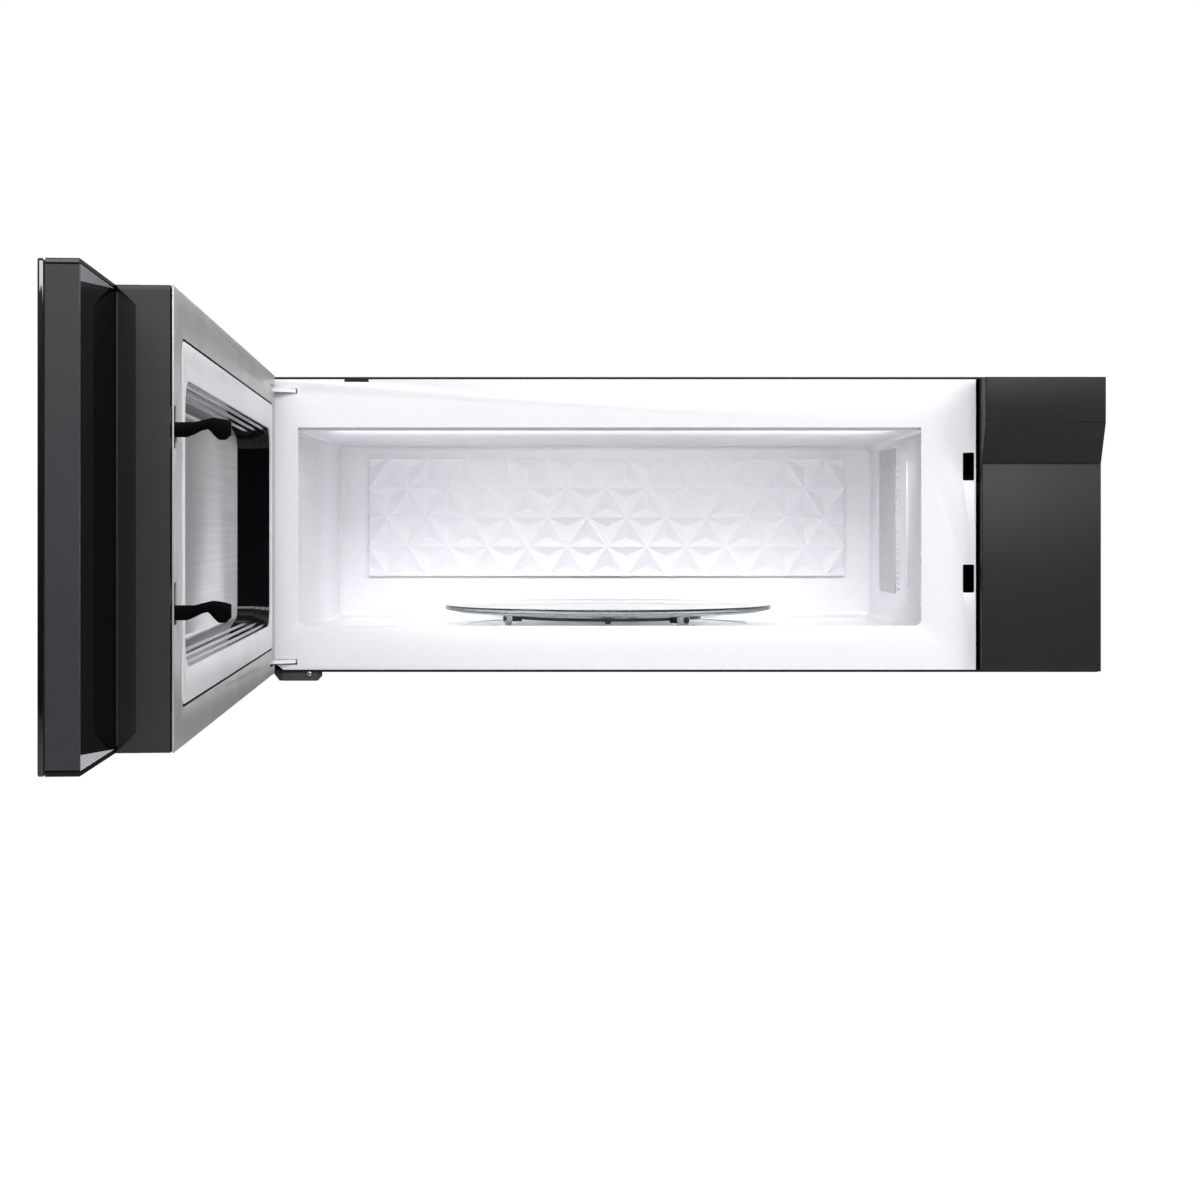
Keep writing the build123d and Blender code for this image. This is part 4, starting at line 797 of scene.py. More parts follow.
@dataclass
class Column:
    """Right column: satin moulding with a nose along its top, and a slope between two thin grooves."""

    across: Range = (274.8, 379.4)
    height: Range = (1.3, 258.35)
    face: float = 12.0
    nose: float = 29.0
    slope: Range = (183.2, 218.7)
    groove: float = 0.9
    corner: float = 1.2

    def build(self) -> None:
        """Builds the moulding from a slab, with its nose pulled forward."""
        column = block("column_fascia", self.across, (-self.face, 0.0), self.height)
        for level in self.slope:
            divide(column, spot(0, 0, level), (0, 0, 1))
        work(column, Pick.EDGES, lambda p, d: abs(p.y + self.face) < 0.1 and p.z > self.slope[1] - 1,
             lambda: bpy.ops.transform.translate(value=(0, (self.face - self.nose) * MM, 0)))
        round_edges(column, lambda p, d: p.y < -1 and (abs(d.z) > 0.3 or p.z > self.height[1] - 1)
                    and not parallel(d, 1), self.corner, 4)
        for level, front in zip(self.slope, (self.face, self.nose)):
            carve(column, block("groove", shrunk(self.across, -1), (-front - 1, -front + self.groove),
                                shrunk((level, level), -self.groove / 2)))
        soften(column, 0.25)
        deliver(column, Body.CABINET, COLUMN_ABS, "dark_satin", "column_fascia")


@dataclass
class Turntable:
    """Glass tray on its roller ring.

    A profile's steps each go inward by a width and outward from the tray's face by a depth.
    """

    middle: float = -51.3
    behind: float = 175.0
    radius: float = 157.5
    tray_height: Range = (47.9, 54.0)
    rim_low: float = 50.2
    under_profile: tuple[Range, ...] = ((0.5, 0.6), (8.5, 1.7), (2.0, 0.9), (5.0, 0.0), (3.0, -0.9))
    upper_profile: tuple[Range, ...] = ((3.5, 0.0), (2.0, -0.6), (8.5, -0.7), (12.0, -0.8))
    lug_circle: float = 17.0
    lug_radius: float = 3.5
    lug_length: float = 5.2
    hoop: Range = (83.0, 90.0)
    hoop_height: Range = (40.6, 43.4)
    spoke_start: float = 87.0
    spoke_half: float = 6.0
    spoke_end: float = 96.1
    spoke_rise: float = 2.8
    pin_radius: float = 1.5
    pin_end: float = 103.7
    head_radius: float = 3.0
    head_length: float = 1.4
    wheel_radius: float = 6.45
    wheel_width: float = 5.0
    wheel_track: float = 99.0
    axle_height: float = 41.2
    first_angle: float = 195.0

    def tray(self) -> bpy.types.Object:
        """Makes the dish by insetting a disc above and below.

        Returns:
            The tray.
        """
        low, high = self.tray_height
        dish = disc("glass_tray", Vector((self.middle, self.behind, (self.rim_low + high) / 2)), UP,
                    high - self.rim_low, self.radius, 160)
        work(dish, Pick.FACES, lambda p, n: n.z < -0.9, *insets(*self.under_profile))
        work(dish, Pick.FACES, lambda p, n: n.z > 0.9, *insets(*self.upper_profile))
        lugs = []
        for turn in range(3):
            angle = math.radians(120 * turn + 90)
            place = Vector((self.middle + self.lug_circle * math.cos(angle),
                            self.behind + self.lug_circle * math.sin(angle), low - 1.6))
            lugs.append(disc("lug", place, UP, self.lug_length, self.lug_radius, 24))
        return soften(weld(dish, *lugs), 0.5, 3, 25.0)

    def ring(self) -> bpy.types.Object:
        """Makes the hoop and its three spokes.

        Returns:
            The ring.
        """
        low, high = self.hoop_height
        centre = Vector((self.middle, self.behind, (low + high) / 2))
        hoop = disc("roller_ring", centre, UP, high - low, self.hoop[1], 120)
        carve(hoop, disc("inside", centre, UP, high - low + 4, self.hoop[0], 120))
        start, reach = self.spoke_start, self.pin_end
        spoke = block("spoke", (self.middle + start, self.middle + self.spoke_end),
                      shrunk((self.behind, self.behind), -self.spoke_half),
                      shrunk((self.axle_height, self.axle_height), -self.spoke_rise))
        axle = Vector((self.middle + (start + reach) / 2, self.behind, self.axle_height))
        pin = disc("pin", axle, ACROSS, reach - start, self.pin_radius, 24)
        end = Vector((self.middle + reach - self.head_length / 2, self.behind, self.axle_height))
        weld(spoke, pin, disc("head", end, ACROSS, self.head_length, self.head_radius, 24))
        for turn in range(3):
            move = about(Vector((self.middle, self.behind, 0)), "Z", self.first_angle + 120 * turn)
            weld(hoop, clone(spoke, "spoke", move))
        bpy.data.objects.remove(spoke)
        return soften(hoop, 0.5, 2, 40.0)

    def wheel(self) -> bpy.types.Object:
        """Makes one roller at angle 0, with a recessed hub on its outer side.

        Returns:
            The roller.
        """
        place = Vector((self.middle + self.wheel_track, self.behind, self.axle_height))
        tyre = disc("wheel", place, ACROSS, self.wheel_width, self.wheel_radius, 40)
        work(tyre, Pick.FACES, lambda p, n: abs(n.x) > 0.9,
             *insets((1.4, 0.0), (0.3, -0.6), use_individual=True))
        carve(tyre, disc("bore", place, ACROSS, 9.0, self.pin_radius + 0.05, 24))
        return soften(tyre, 0.3)

    def build(self) -> None:
        """Builds the tray, the ring and the three rollers."""
        deliver(self.tray(), Body.TRAY, TRAY_GLASS, "tray_glass", "glass_tray")
        deliver(self.ring(), Body.RING, ACETAL, "roller_plastic", "roller_ring")
        first = self.wheel()
        for turn, body in enumerate((Body.ROLLER_1, Body.ROLLER_2, Body.ROLLER_3)):
            move = about(Vector((self.middle, self.behind, 0)), "Z", self.first_angle + 120 * turn)
            name = f"roller_wheel_{turn + 1}"
            deliver(clone(first, f"{name}_tyre", move), body, PTFE, "roller_tyre", name)
        bpy.data.objects.remove(first)


@dataclass
class DoorShell:
    """Outside of the door: the moulding with its handle pocket, the pocket's insert and the front glass."""

    height: Range = (0.0, 260.35)
    slab: Range = (32.2, 49.1)
    shell_along: Range = (10.0, 651.4)
    shell_wall: float = 2.0
    scoop_depth: float = 5.0
    scoop_width: float = 11.4
    pocket_along: Range = (646.4, 755.4)
    pocket_height: Range = (2.0, 258.35)
    pocket_floor: float = 45.7
    pocket_slant: float = 6.3
    joint: float = 0.25
    band: float = 3.3
    opening_along: Range = (61.0, 591.0)
    opening_height: Range = (65.0, 198.0)
    notch_along: float = 38.0
    notches: tuple[Range, Range] = ((5.4, 14.0), (243.5, 254.95))
    shelf: float = 2.5
    pin_hole: float = 5.2
    corner: float = 1.2
    bay_margin: float = 30.0
    bay_height: Range = (6.0, 50.0)
    glass_outward: Range = (50.0, 52.9)
    glass_corner: float = 2.0
    print_height: float = 29.0
    clock_along: float = 359.4
    clock_size: float = 13.0
    key_rows: tuple[tuple[str, float], ...] = (("12345", 140.0), ("67890", 442.0))
    key_pitch: float = 34.0
    key_size: float = 7.0

    def scoop(self) -> bpy.types.Object:
        """Makes the cutter for the hollow in the shell's free end: a block that narrows inward.

        Returns:
            The cutter on the shut door.
        """
        deep = self.slab[0] - self.scoop_width
        cutter = door_block("scoop", (self.pocket_along[0], WIDTH + 20), (deep, self.slab[0]), self.height)
        middle = spot(0, 0, sum(self.height) / 2)
        share = 1 - 2 * self.scoop_width / (self.height[1] - self.height[0])
        work(cutter, Pick.FACES, lambda p, n: n.y > 0.9,
             lambda: bpy.ops.transform.resize(value=(1, 1, share), center_override=middle))
        edge = self.pocket_along[0] - HALF
        return work(cutter, Pick.EDGES,
                    lambda p, d: parallel(d, 2) and abs(p.x - edge) < 0.5 and p.y > -DOOR_GAP - deep - 0.5,
                    lambda: bpy.ops.transform.translate(value=(self.scoop_depth * MM, 0, 0)))

    def moulding(self) -> bpy.types.Object:
        """Makes the front slab with its pocket, and the shell behind it.

        Returns:
            The moulding on the shut door.
        """
        wall = self.shell_wall
        slab = rounded_block("door_frame", (0.0, WIDTH), self.slab, self.height, self.corner, 3)
        weld(slab, rounded_block("shell", self.shell_along, (wall, self.slab[0] + 0.1), self.height,
                                 self.corner, 3))
        carve(slab, door_block("inside", shrunk(self.shell_along, wall), (-1.0, self.slab[0] + 4),
                               shrunk(self.height, wall)))
        end = door_block("end", (self.pocket_along[0] - wall, self.shell_along[1] - 0.1),
                         (self.slab[0] - self.scoop_width - wall, self.slab[0] + 4.1),
                         shrunk(self.height, 0.1))
        weld(slab, end)
        through = shrunk(self.slab, -1)
        pocket = door_block("pocket", self.pocket_along, through, self.pocket_height)
        window = door_block("window", self.opening_along, through, self.opening_height)
        bay = door_block("bay", shrunk(self.shell_along, self.bay_margin),
                         (self.pocket_floor, self.slab[1] + 1), self.bay_height)
        carve(slab, self.scoop(), pocket, window, bay)
        for low, high in self.notches:
            carve(slab, door_block("notch", (self.shell_along[0] - 1, self.notch_along), (-1.0, self.slab[0]),
                                   (low, high)))
        for low in (self.notches[0][1], self.notches[1][0] - self.shelf):
            weld(slab, door_block("shelf", (self.shell_along[0] + 0.1, self.notch_along + 2),
                                  (wall, self.slab[0] + 1), (low, low + self.shelf)))
        for level in self.height:
            place = Vector((HINGE_ALONG - HALF, -DOOR_GAP - HINGE_OUTWARD, level))
            carve(slab, disc("pin_hole", place, UP, 6.0, self.pin_hole, 32))
        low, high = shrunk(self.height, self.band)
        for level in (low, high):
            divide(slab, spot(0, 0, level), (0, 0, 1))
        paint(slab, SATIN_ABS, GLOSS_ABS,
              lambda p, n: not low <= p.z <= high and p.y < -DOOR_GAP - self.slab[0] + 0.5)
        return soften(slab, 0.4, 2, 15.0)

    def pocket_panel(self) -> bpy.types.Object:
        """Makes the pocket's insert: a glossy floor that slopes outward between two slanted silver ends,
        drawn bright as a painted reflection.

        Returns:
            The insert, with its two materials.
        """
        panel = door_block("pocket_panel", shrunk(self.pocket_along, self.joint), self.slab,
                           shrunk(self.pocket_height, self.joint))
        hollow = door_block("hollow", self.pocket_along, (self.slab[0], self.pocket_floor),
                            self.pocket_height)
        middle = spot(0, 0, sum(self.pocket_height) / 2)
        share = 1 - 2 * self.pocket_slant / (self.pocket_height[1] - self.pocket_height[0])
        floor_behind = -DOOR_GAP - self.pocket_floor
        start, end = (along - HALF for along in self.pocket_along)
        work(hollow, Pick.EDGES,
             lambda p, d: parallel(d, 2) and abs(p.x - end) < 0.5 and abs(p.y - floor_behind) < 0.5,
             lambda: bpy.ops.transform.resize(value=(1, 1, share), center_override=middle))
        rise = (self.pocket_floor - self.slab[0] - 0.05) * MM
        work(hollow, Pick.EDGES,
             lambda p, d: parallel(d, 2) and abs(p.x - start) < 0.5 and abs(p.y - floor_behind) < 0.5,
             lambda: bpy.ops.transform.translate(value=(0, rise, 0)))
        work(hollow, Pick.FACES, lambda p, n: n.y > 0.9,
             lambda: bpy.ops.mesh.extrude_region_move(TRANSFORM_OT_translate={"value": (0, 2 * MM, 0)}))
        carve(panel, hollow)
        # The slanted ends are drawn bright silver: part silver paint, part painted reflection.
        paint(panel, GLOSS_ABS, SILVER_TRIM_PAINTED_REFLECTION, lambda p, n: 0.3 < abs(n.z) < 0.95)
        return soften(panel, 0.15, 1)

    def glass(self) -> bpy.types.Object:
        """Makes the front glass, clear over the window and printed black elsewhere.

        Returns:
            The glass, with its two materials.
        """
        glass = rounded_block("door_glass", (0.0, WIDTH), self.glass_outward, self.height,
                              self.glass_corner, 4)
        left, right = self.opening_along
        low, high = self.opening_height
        for along in self.opening_along:
            divide(glass, spot(along - HALF, 0, 0), (1, 0, 0))
        for level in self.opening_height:
            divide(glass, spot(0, 0, level), (0, 0, 1))
        soften(glass, 0.4)
        paint(glass, PRINTED_GLASS, TINTED_GLASS, lambda p, n: left < p.x + HALF < right and low < p.z < high)
        return glass

    def print_text(self, text: str, along: float, size: float) -> bpy.types.Object:
        """Makes one printed number or sign on the face of the glass.

        Args:
            text: Plain digits or signs.
            along: Its middle along the door.
            size: Height of a capital, in millimetres.

        Returns:
            The print as a thin mesh on the shut door.
        """
        bpy.ops.object.select_all(action="DESELECT")
        front = -DOOR_GAP - self.glass_outward[1] - 0.02
        bpy.ops.object.text_add(location=spot(along - HALF, front, self.print_height),
                                rotation=(math.radians(90), 0, 0))
        sign = bpy.context.active_object
        sign.data.body = text
        sign.data.size = size * 1.4 * MM
        sign.data.align_x = "CENTER"
        sign.data.align_y = "CENTER"
        sign.data.resolution_u = 3
        sign.data.extrude = 0.02 * MM
        hold(sign)
        bpy.ops.object.convert(target="MESH")
        return settle(bpy.context.active_object, "print")

    def controls(self) -> bpy.types.Object:
        """Makes the plain clock and the row of number keys printed along the bottom of the glass.

        Returns:
            All the print as one piece.
        """
        signs = [self.print_text("12:00", self.clock_along, self.clock_size)]
        for digits, start in self.key_rows:
            for at, digit in enumerate(digits):
                signs.append(self.print_text(digit, start + self.key_pitch * at, self.key_size))
        return join(*signs)

    def build(self) -> None:
        """Builds the outside of the door, swings it open and dresses it."""
        deliver(swing(self.moulding()), Body.DOOR, SATIN_ABS, "dark_satin", "door_frame")
        deliver(swing(self.pocket_panel()), Body.DOOR, GLOSS_ABS, "gloss_black", "pocket_panel")
        deliver(swing(self.glass()), Body.DOOR, PRINTED_GLASS, "front_glass", "door_glass")
        deliver(swing(self.controls()), Body.DOOR, INK, "front_glass").name = "control_print"


@dataclass
class DoorInside:
    """Inner side of the door: the painted pan, the choke cover, the stepped window tray and the screen."""

    along: Range = (10.0, 651.4)
    height: Range = (0.0, 260.35)
    choke_along: Range = (34.4, 618.0)
    choke_height: Range = (22.0, 234.5)
    choke_corner: float = 9.0
    sheet: float = 1.0
    corner: float = 1.2
    channel: float = 24.0
    choke_gap: float = 1.6
    skirt: float = 1.8
    skirt_depth: float = 9.6
    mouth_along: Range = (47.0, 605.0)
    mouth_height: Range = (43.5, 211.5)
    mouth_corner: float = 18.0
    steps: int = 3
    step_width: float = 2.2
    step_drop: float = 4.4
    tray_wall: float = 1.2
    pane: Range = (28.0, 29.6)
    screen: float = 30.3
    screen_along: Range = (67.0, 585.0)
    screen_height: Range = (73.0, 190.0)
    notch_along: float = 53.0
    notches: tuple[Range, Range] = ((7.0, 12.0), (245.5, 250.5))
    latch_across: Range = (260.4, 270.3)
    latch_heights: tuple[Range, Range] = ((70.6, 94.8), (169.6, 193.6))
    latch_corner: float = 2.0
    hole_pitch: tuple[float, float] = (3.42, 3.0)
    strand: float = 0.62
    screen_sheet_thickness: float = 0.5

    def ring_block(self, inset: float, outward: Range) -> bpy.types.Object:
        """Makes a block with the outline of the window's mouth, smaller all round by an inset."""
        return rounded_block("mouth", shrunk(self.mouth_along, inset), outward,
                             shrunk(self.mouth_height, inset), self.mouth_corner - inset, 8)

    def choke_block(self, inset: float, outward: Range) -> bpy.types.Object:
        """Makes a block with the outline of the choke channel, smaller all round by an inset."""
        return rounded_block("choke", shrunk(self.choke_along, inset), outward,
                             shrunk(self.choke_height, inset), self.choke_corner - inset, 6)

    def pan(self) -> bpy.types.Object:
        """Makes the pan's face, the channel behind the choke cover and the wall back to the screen.

        Returns:
            The pan on the shut door.
        """
        face = rounded_block("door_pan", self.along, (0.0, self.sheet), self.height, self.corner, 3)
        weld(face, self.choke_block(-1.0, (self.sheet / 2, self.channel)))
        carve(face, self.choke_block(0.0, (-1.0, self.channel - 1)))
        inset = self.steps * self.step_width - self.tray_wall - 0.2
        weld(face, self.ring_block(inset - 1, (self.steps * self.step_drop + 2, self.screen - 0.3)))
        carve(face, self.ring_block(inset, (-2.0, self.screen + 2)))
        for low, high in self.notches:
            carve(face, door_block("notch", (self.along[0] - 1, self.notch_along), (-1.0, 3.0), (low, high)))
        left, right = (place + HALF for place in self.latch_across)
        for low, high in self.latch_heights:
            carve(face, rounded_block("slot", (left, right), (-2.0, 4.0), (low, high), self.latch_corner, 4))
        # Every face more than 1.5 mm outward, in the channel and on the wall back to the screen, is drawn
        # near black as painted shade.
        paint(face, SILVER_PAINT, CHANNEL_PAINTED_SHADE, lambda p, n: p.y < -DOOR_GAP - 1.5)
        return soften(face, 0.3)

    def choke_cover(self) -> bpy.types.Object:
        """Makes the light grey ring, with its skirt down into the channel.

        Returns:
            The ring on the shut door.
        """
        ring = self.choke_block(self.choke_gap, (-0.3, self.skirt_depth))
        ring.name = "choke_cover"
        carve(ring, self.choke_block(self.choke_gap + self.skirt, (1.4, self.skirt_depth + 1)),
              self.ring_block(0.0, (-1.0, 5.0)))
        return soften(ring, 0.35)

    def inner_window(self) -> bpy.types.Object:
        """Makes the tray in the ring: a flange, dark steps, a deep dark wall and a pane drawn pale as painted
        light.

        Returns:
            The tray, with its two materials.
        """
        back = self.steps * self.step_width
        tray = self.ring_block(-5.0, (1.4, 1.4 + self.tray_wall))
        for step in range(self.steps):
            weld(tray, self.ring_block(step * self.step_width - self.tray_wall,
                                       (1.5, (step + 1) * self.step_drop + self.tray_wall)))
        weld(tray, self.ring_block(back - self.tray_wall, (1.6, self.pane[1])))
        for step in range(self.steps):
            carve(tray, self.ring_block(step * self.step_width, (-1.0, (step + 1) * self.step_drop)))
        carve(tray, self.ring_block(back, (-1.0, self.pane[0])))
        settle(tray, "inner_window")
        start, end = shrunk(self.mouth_along, back - 2)
        front = -DOOR_GAP - self.pane[0] + 0.5
        # The pane's faces are drawn pale as painted light on the screen behind them.
        paint(tray, GLOSS_ABS, WINDOW_PAINTED_LIGHT,
              lambda p, n: abs(n.y) > 0.9 and p.y < front and start < p.x + HALF < end)
        return soften(tray, 0.3)

    def screen_sheet(self) -> bpy.types.Object:
        """Makes the perforated screen from one cell repeated over the window, in a plain border.

        The real holes are about 1.5 mm at 2 mm spacing; they are larger and fewer here, for a light mesh.

        Returns:
            The screen on the shut door.
        """
        width = self.screen_along[1] - self.screen_along[0]
        tall = self.screen_height[1] - self.screen_height[0]
        columns = round(width / self.hole_pitch[0])
        rows = round(tall / self.hole_pitch[1])
        wide, high = width / columns, tall / rows
        start = spot(self.screen_along[0] - HALF + wide / 2, -DOOR_GAP - self.screen,
                     self.screen_height[0] + high / 2)
        bpy.ops.object.select_all(action="DESELECT")
        bpy.ops.mesh.primitive_plane_add(size=1.0, location=start, rotation=(math.radians(90), 0, 0))
        sheet = bpy.context.active_object
        sheet.scale = (wide * MM, high * MM, 1.0)
        settle(sheet, "window_screen")
        work(sheet, Pick.FACES, lambda p, n: True, *insets((self.strand, 0.0)),
             lambda: bpy.ops.mesh.delete(type="FACE"))
        repeat(sheet, columns, (wide, 0.0, 0.0), use_merge_vertices=True)
        repeat(sheet, rows, (0.0, 0.0, high), use_merge_vertices=True)
        apply(sheet, "SOLIDIFY", thickness=self.screen_sheet_thickness * MM, offset=0.0)
        middle = (self.screen, self.screen)
        border = self.ring_block(self.steps * self.step_width - 2 * self.tray_wall,
                                 shrunk(middle, -self.screen_sheet_thickness / 2))
        carve(border, door_block("inside", shrunk(self.screen_along, 0.1), shrunk(middle, -2),
                                 shrunk(self.screen_height, 0.1)))
        return join(sheet, border)

    def build(self) -> None:
        """Builds the inner side of the door, swings it open and dresses it."""
        deliver(swing(self.pan()), Body.DOOR, SILVER_PAINT, "pan_paint", "door_pan")
        deliver(swing(self.choke_cover()), Body.DOOR, POLYPROPYLENE, "choke_plastic", "choke_cover")
        deliver(swing(self.screen_sheet()), Body.DOOR, SCREEN_PAINT, "pan_paint", "window_screen")
        deliver(swing(self.inner_window()), Body.DOOR, GLOSS_ABS, "smoked_window", "inner_window")


@dataclass
class Latch:
    """Sprung bar with the two hooks that reach through the pan.

    A hook's stations run from the bar to its tip: how far inward, and the heights of its lower and upper
    edge above the hook's own foot.
    """

    middle: float = 264.75
    bar: Range = (6.0, 9.0)
    bar_half: float = 5.0
    bar_past: float = 2.0
    root: float = 6.5
    bottoms: tuple[float, float] = (73.5, 176.0)
    thickness: float = 4.0
    neck: float = 8.4
    stations: tuple[tuple[float, float, float], ...] = (
        (10.5, 1.6, 8.4), (14.5, 3.7, 9.5), (18.0, 4.6, 10.3), (19.6, 3.2, 10.7), (21.6, 0.8, 10.9),
        (24.0, -1.5, 10.6), (28.0, -1.5, 9.9), (31.0, 1.4, 9.0))

    def hook(self, low: float) -> bpy.types.Object:
        """Makes one hook by drawing the end of a block out from station to station.

        Args:
            low: Height of the hook's foot above the underside.

        Returns:
            The hook on the shut door.
        """
        middle = self.middle + HALF
        hook = door_block("hook", shrunk((middle, middle), -self.thickness / 2),
                          (-self.root, self.bar[0] + 1), (low, low + self.neck))
        steps: list[Callable[[], object]] = []
        reach, bottom, top = self.root, 0.0, self.neck
        for inward, lower, upper in self.stations:
            out = (0, (inward - reach) * MM, 0)
            centre = spot(0, inward - DOOR_GAP, low + (bottom + top) / 2)
            share = (upper - lower) / (top - bottom)
            lift = (upper + lower - top - bottom) / 2 * MM
            steps += (partial(bpy.ops.mesh.extrude_region_move, TRANSFORM_OT_translate={"value": out}),
                      partial(bpy.ops.transform.resize, value=(1, 1, share), center_override=centre),
                      partial(bpy.ops.transform.translate, value=(0, 0, lift)))
            reach, bottom, top = inward, lower, upper
        return work(hook, Pick.FACES, lambda p, n: n.y > 0.9, *steps)

    def build(self) -> None:
        """Builds the bar and its hooks, swings them open and dresses them."""
        middle = self.middle + HALF
        bar = door_block("latch_bar", shrunk((middle, middle), -self.bar_half), self.bar,
                         (self.bottoms[0] - self.bar_past, self.bottoms[1] + self.neck + self.bar_past))
        for low in self.bottoms:
            weld(bar, self.hook(low))
        soften(bar, 0.7, 3, 35.0)
        deliver(swing(bar), Body.LATCH, NYLON, "black_plastic", "latch_bar")


@dataclass
class Casing:
    """Pieces whose solids are right as they are, by finish, and the hinge's foot with its screw.

    foot_slants are the planes that trim the foot's block: a place on each, and its outward direction.
    """

    foot_across: Range = (-350.0, -305.6)
    foot_behind: Range = (2.0, 36.0)
    foot_height: Range = (-7.9, 0.0)
    foot_slants: tuple[tuple[Place, Place], ...] = (
        ((-309.8, 2.0, 0.0), (1.0, -1.0, 0.0)), ((-340.5, 2.0, 0.0), (-1.0, -1.0, 0.0)),
        ((-305.6, 6.2, 0.0), (5.6, 1.0, 0.0)), ((-309.8, 0.0, -7.9), (2.7, 0.0, -4.2)),
        ((-350.0, 0.0, -1.5), (-6.4, 0.0, -5.4)))
    screw_across: float = -316.3
    screw_height: float = -1.6
    screw_radius: float = 2.1
    screw_head: float = 2.4
    screw_cross: Range = (1.3, 0.3)

    def plan(self) -> dict[Finish, tuple[str, ...]]:
        """Lists the solids that keep their shape, by finish.

        Returns:
            The names of the solids for each finish.
        """
        return {
            POWDER_COAT: ("outer_cover", "side_panels", "base_plate", "case_screws"),
            ZINC: ("back_panel", "wall_plate", "waveguide", "cabinet_nuts", "exhaust_adaptor", "damper_flap",
                   "blower_housing", "blower_wheels", "thermal_cutouts", "high_voltage_diode"),
            ENAMEL: ("lower_hinge_bracket", "upper_hinge_bracket"),
            TURNED_STEEL: ("hinge_pins",),
            SATIN_ABS: ("motor_service_cover",),
            NYLON: ("latch_board", "interlock_switches", "cooling_fan", "fan_shroud", "cord_inlet"),
            CHARCOAL: ("charcoal_filter",),
            CLEAR_GLASS: ("lamp_lenses",),
            ACETAL: ("drive_coupler",),
            LAMINATIONS: ("transformer", "turntable_motor", "blower_motor", "cooling_fan_motor"),
            CAST_ALUMINIUM: ("magnetron", "capacitor"),
            BOARD: ("control_board", "noise_filter", "touch_board", "cooktop_lamps", "cavity_lamp"),
            FOAM: ("glass_seal",),
            BRONZE: ("hinge_bushes",),
            SPRING_WIRE: ("latch_spring",),
            ALUMINIUM_MESH: ("grease_filter_left", "grease_filter_right"),
        }

    def foot(self) -> None:
        """Makes the foot cover from a block: corners slanting back, and the underside's edges cut off."""
        foot = block("hinge_foot_cover", self.foot_across, self.foot_behind, self.foot_height)
        for place, out in self.foot_slants:
            divide(foot, spot(*place), out, clear_outer=True, use_fill=True)
        # The foot's satin skin is drawn lighter as painted light.
        deliver(soften(foot, 0.3), Body.CABINET, FOOT_ABS_PAINTED_LIGHT, "dark_satin", "hinge_foot_cover")

    def foot_screw(self) -> None:
        """Makes the small pan-head screw over the foot cover, with its cross recess."""
        place = Vector((self.screw_across, 0.0, self.screw_height))
        head = disc("foot_screw", place, BEHIND, self.screw_head, self.screw_radius, 32)
        work(head, Pick.FACES, lambda p, n: n.y < -0.9, *insets((0.7, 0.3)))
        for wide, tall in (self.screw_cross, self.screw_cross[::-1]):
            carve(head, block("recess", (place.x - wide, place.x + wide), (-5.0, place.y),
                              (place.z - tall, place.z + tall)))
        deliver(soften(head, 0.15, 2), Body.CABINET, TURNED_STEEL, "pin_steel")

    def build(self) -> None:
        """Dresses the solids that keep their shape, and adds the foot and its screw."""
        for finish, nodes in self.plan().items():
            for name in nodes:
                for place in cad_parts[name].material_slots:
                    place.material = finish.material()
                LOG.info("%s keeps its solid in %s", name, finish.name)
        self.foot()
        self.foot_screw()


@dataclass(frozen=True)
class Lamp:
    """A soft rectangular lamp: places and size in metres, power in watts, and the angle of its cone."""

    name: str
    place: Place
    target: Place
    size: Range
    power: float
    cone: float = 180.0

    def add(self) -> None:
        """Adds the lamp to the scene."""
        data = bpy.data.lights.new(self.name, "AREA")
        data.shape = "RECTANGLE"
        data.size, data.size_y = self.size
        data.energy = self.power
        data.spread = math.radians(self.cone)
        lamp = bpy.data.objects.new(self.name, data)
        bpy.context.scene.collection.objects.link(lamp)
        place = Vector(self.place)
        lamp.location = place
        lamp.rotation_euler = (Vector(self.target) - place).to_track_quat("-Z", "Y").to_euler()


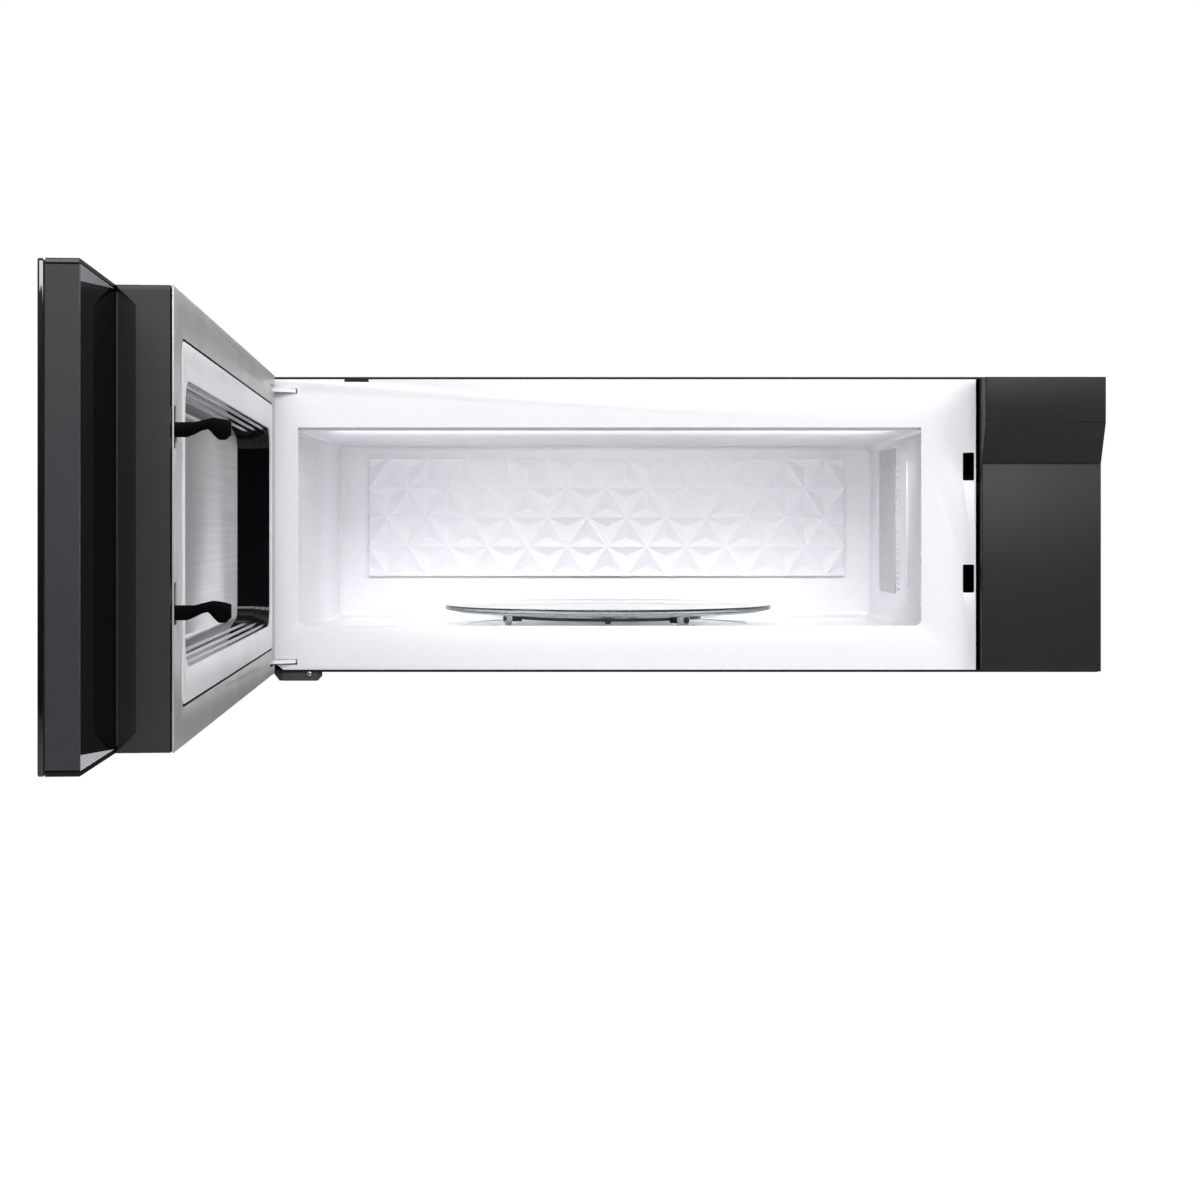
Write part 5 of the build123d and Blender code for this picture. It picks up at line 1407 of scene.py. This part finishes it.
@dataclass
class Studio:
    """Pale floor, soft lamps, a white surround and the camera.

    The camera is level and stands 1765 mm in front of the frame. Its shifts are parts of the picture's width.
    """

    floor_drop: float = 0.62
    floor_size: float = 6.0
    floor_middle: float = -0.8
    floor_colour: str = "D2D2D2"
    floor_white: float = 1.16
    floor_white_share: float = 0.85
    diffuse_light: float = 0.3
    glossy_low: float = 0.04
    glossy_high: float = 0.5
    middle: Place = (-0.05, -0.35, 0.0)
    oven_lamp: Place = (-0.05, -0.395, 0.079)
    oven_target: Place = (-0.05, -0.07, -0.1)
    lens: float = 60.0
    sensor: float = 36.0
    shift: tuple[float, float] = (10 / 1200, -66 / 1200)
    camera_place: Place = (-0.0687, -2.172, -0.008375)

    def floor(self) -> None:
        """Lays the floor: white to the camera but for its shadows, and open from below."""
        bpy.ops.object.select_all(action="DESELECT")
        bpy.ops.mesh.primitive_plane_add(size=self.floor_size,
                                         location=(0.0, self.floor_middle, -self.floor_drop))
        sheet = settle(bpy.context.active_object, "floor")
        material = bpy.data.materials.new("studio_floor")
        material.use_nodes = True
        tree = material.node_tree
        tree.nodes.clear()
        path = add_node(tree, "ShaderNodeLightPath")
        matt = add_node(tree, "ShaderNodeBsdfDiffuse", {"Color": linear(self.floor_colour)})
        white = add_node(tree, "ShaderNodeEmission",
                         {"Color": linear("FFFFFF"), "Strength": self.floor_white})
        share = add_node(tree, "ShaderNodeMath", {0: (path, "Is Camera Ray"), 1: self.floor_white_share},
                         operation="MULTIPLY")
        top = add_node(tree, "ShaderNodeMixShader",
                       {"Fac": (share, "Value"), 1: (matt, "BSDF"), 2: (white, "Emission")})
        clear = add_node(tree, "ShaderNodeBsdfTransparent")
        side = add_node(tree, "ShaderNodeNewGeometry")
        both = add_node(tree, "ShaderNodeMixShader",
                        {"Fac": (side, "Backfacing"), 1: (top, "Shader"), 2: (clear, "BSDF")})
        add_node(tree, "ShaderNodeOutputMaterial", {"Surface": (both, "Shader")})
        sheet.data.materials.append(material)

    def surround(self) -> None:
        """Sets the world: soft light, white to the camera and through glass, and a graded room in gloss."""
        world = bpy.data.worlds.new("studio")
        bpy.context.scene.world = world
        world.use_nodes = True
        tree = world.node_tree
        tree.nodes.clear()
        path = add_node(tree, "ShaderNodeLightPath")
        towards = add_node(tree, "ShaderNodeTexCoord")
        parts = add_node(tree, "ShaderNodeSeparateXYZ", {0: (towards, "Generated")})
        grade = add_node(tree, "ShaderNodeMapRange",
                         {"Value": (parts, "Z"), "From Min": -0.05, "From Max": 0.6,
                          "To Min": self.glossy_low, "To Max": self.glossy_high})
        light = add_node(tree, "ShaderNodeBackground",
                         {"Color": linear("FAFBFF"), "Strength": self.diffuse_light})
        room = add_node(tree, "ShaderNodeBackground",
                        {"Color": linear("FFFFFF"), "Strength": (grade, "Result")})
        white = add_node(tree, "ShaderNodeBackground", {"Color": linear("FFFFFF"), "Strength": 1.0})
        gloss = add_node(tree, "ShaderNodeMixShader",
                         {"Fac": (path, "Is Glossy Ray"), 1: (light, "Background"), 2: (room, "Background")})
        seen = add_node(tree, "ShaderNodeMath",
                        {0: (path, "Is Camera Ray"), 1: (path, "Is Transmission Ray")}, operation="MAXIMUM")
        both = add_node(tree, "ShaderNodeMixShader",
                        {"Fac": (seen, "Value"), 1: (gloss, "Shader"), 2: (white, "Background")})
        add_node(tree, "ShaderNodeOutputWorld", {"Surface": (both, "Shader")})

    def lamps(self) -> None:
        """Sets four large soft lamps round the oven, and a thin one under the front of its ceiling."""
        for lamp in (Lamp("front", (0.1, -3.0, 1.05), self.middle, (2.2, 0.8), 44.0),
                     Lamp("right", (2.2, -1.7, 1.2), self.middle, (1.2, 1.2), 26.0),
                     Lamp("top", (0.0, -0.4, 2.2), self.middle, (1.8, 1.8), 6.0),
                     Lamp("back", (0.2, 2.4, 1.3), self.middle, (1.8, 1.0), 24.0),
                     Lamp("oven", self.oven_lamp, self.oven_target, (0.5, 0.01), 0.34, 105.0)):
            lamp.add()

    def camera(self) -> None:
        """Sets the camera where the photograph was taken from: level and nearly square to the front."""
        data = bpy.data.cameras.new("camera")
        data.lens = self.lens
        data.sensor_width = self.sensor
        data.shift_x, data.shift_y = self.shift
        camera = bpy.data.objects.new("camera", data)
        bpy.context.scene.collection.objects.link(camera)
        camera.location = self.camera_place
        camera.rotation_euler = (math.radians(90), 0.0, 0.0)
        bpy.context.scene.camera = camera

    def build(self) -> None:
        """Sets up the studio."""
        self.floor()
        self.surround()
        self.lamps()
        self.camera()
        bpy.context.scene.view_settings.view_transform = "Standard"


def main() -> None:
    """Builds every sub-assembly in order."""
    logging.basicConfig(level=logging.INFO, format="%(message)s")
    for assembly in (Casing(), FrontFrame(), Cavity(), Column(), Turntable(), DoorShell(), DoorInside(),
                     Latch(), Studio()):
        LOG.info("building %s", type(assembly).__name__)
        assembly.build()


if __name__ == "__main__":
    main()
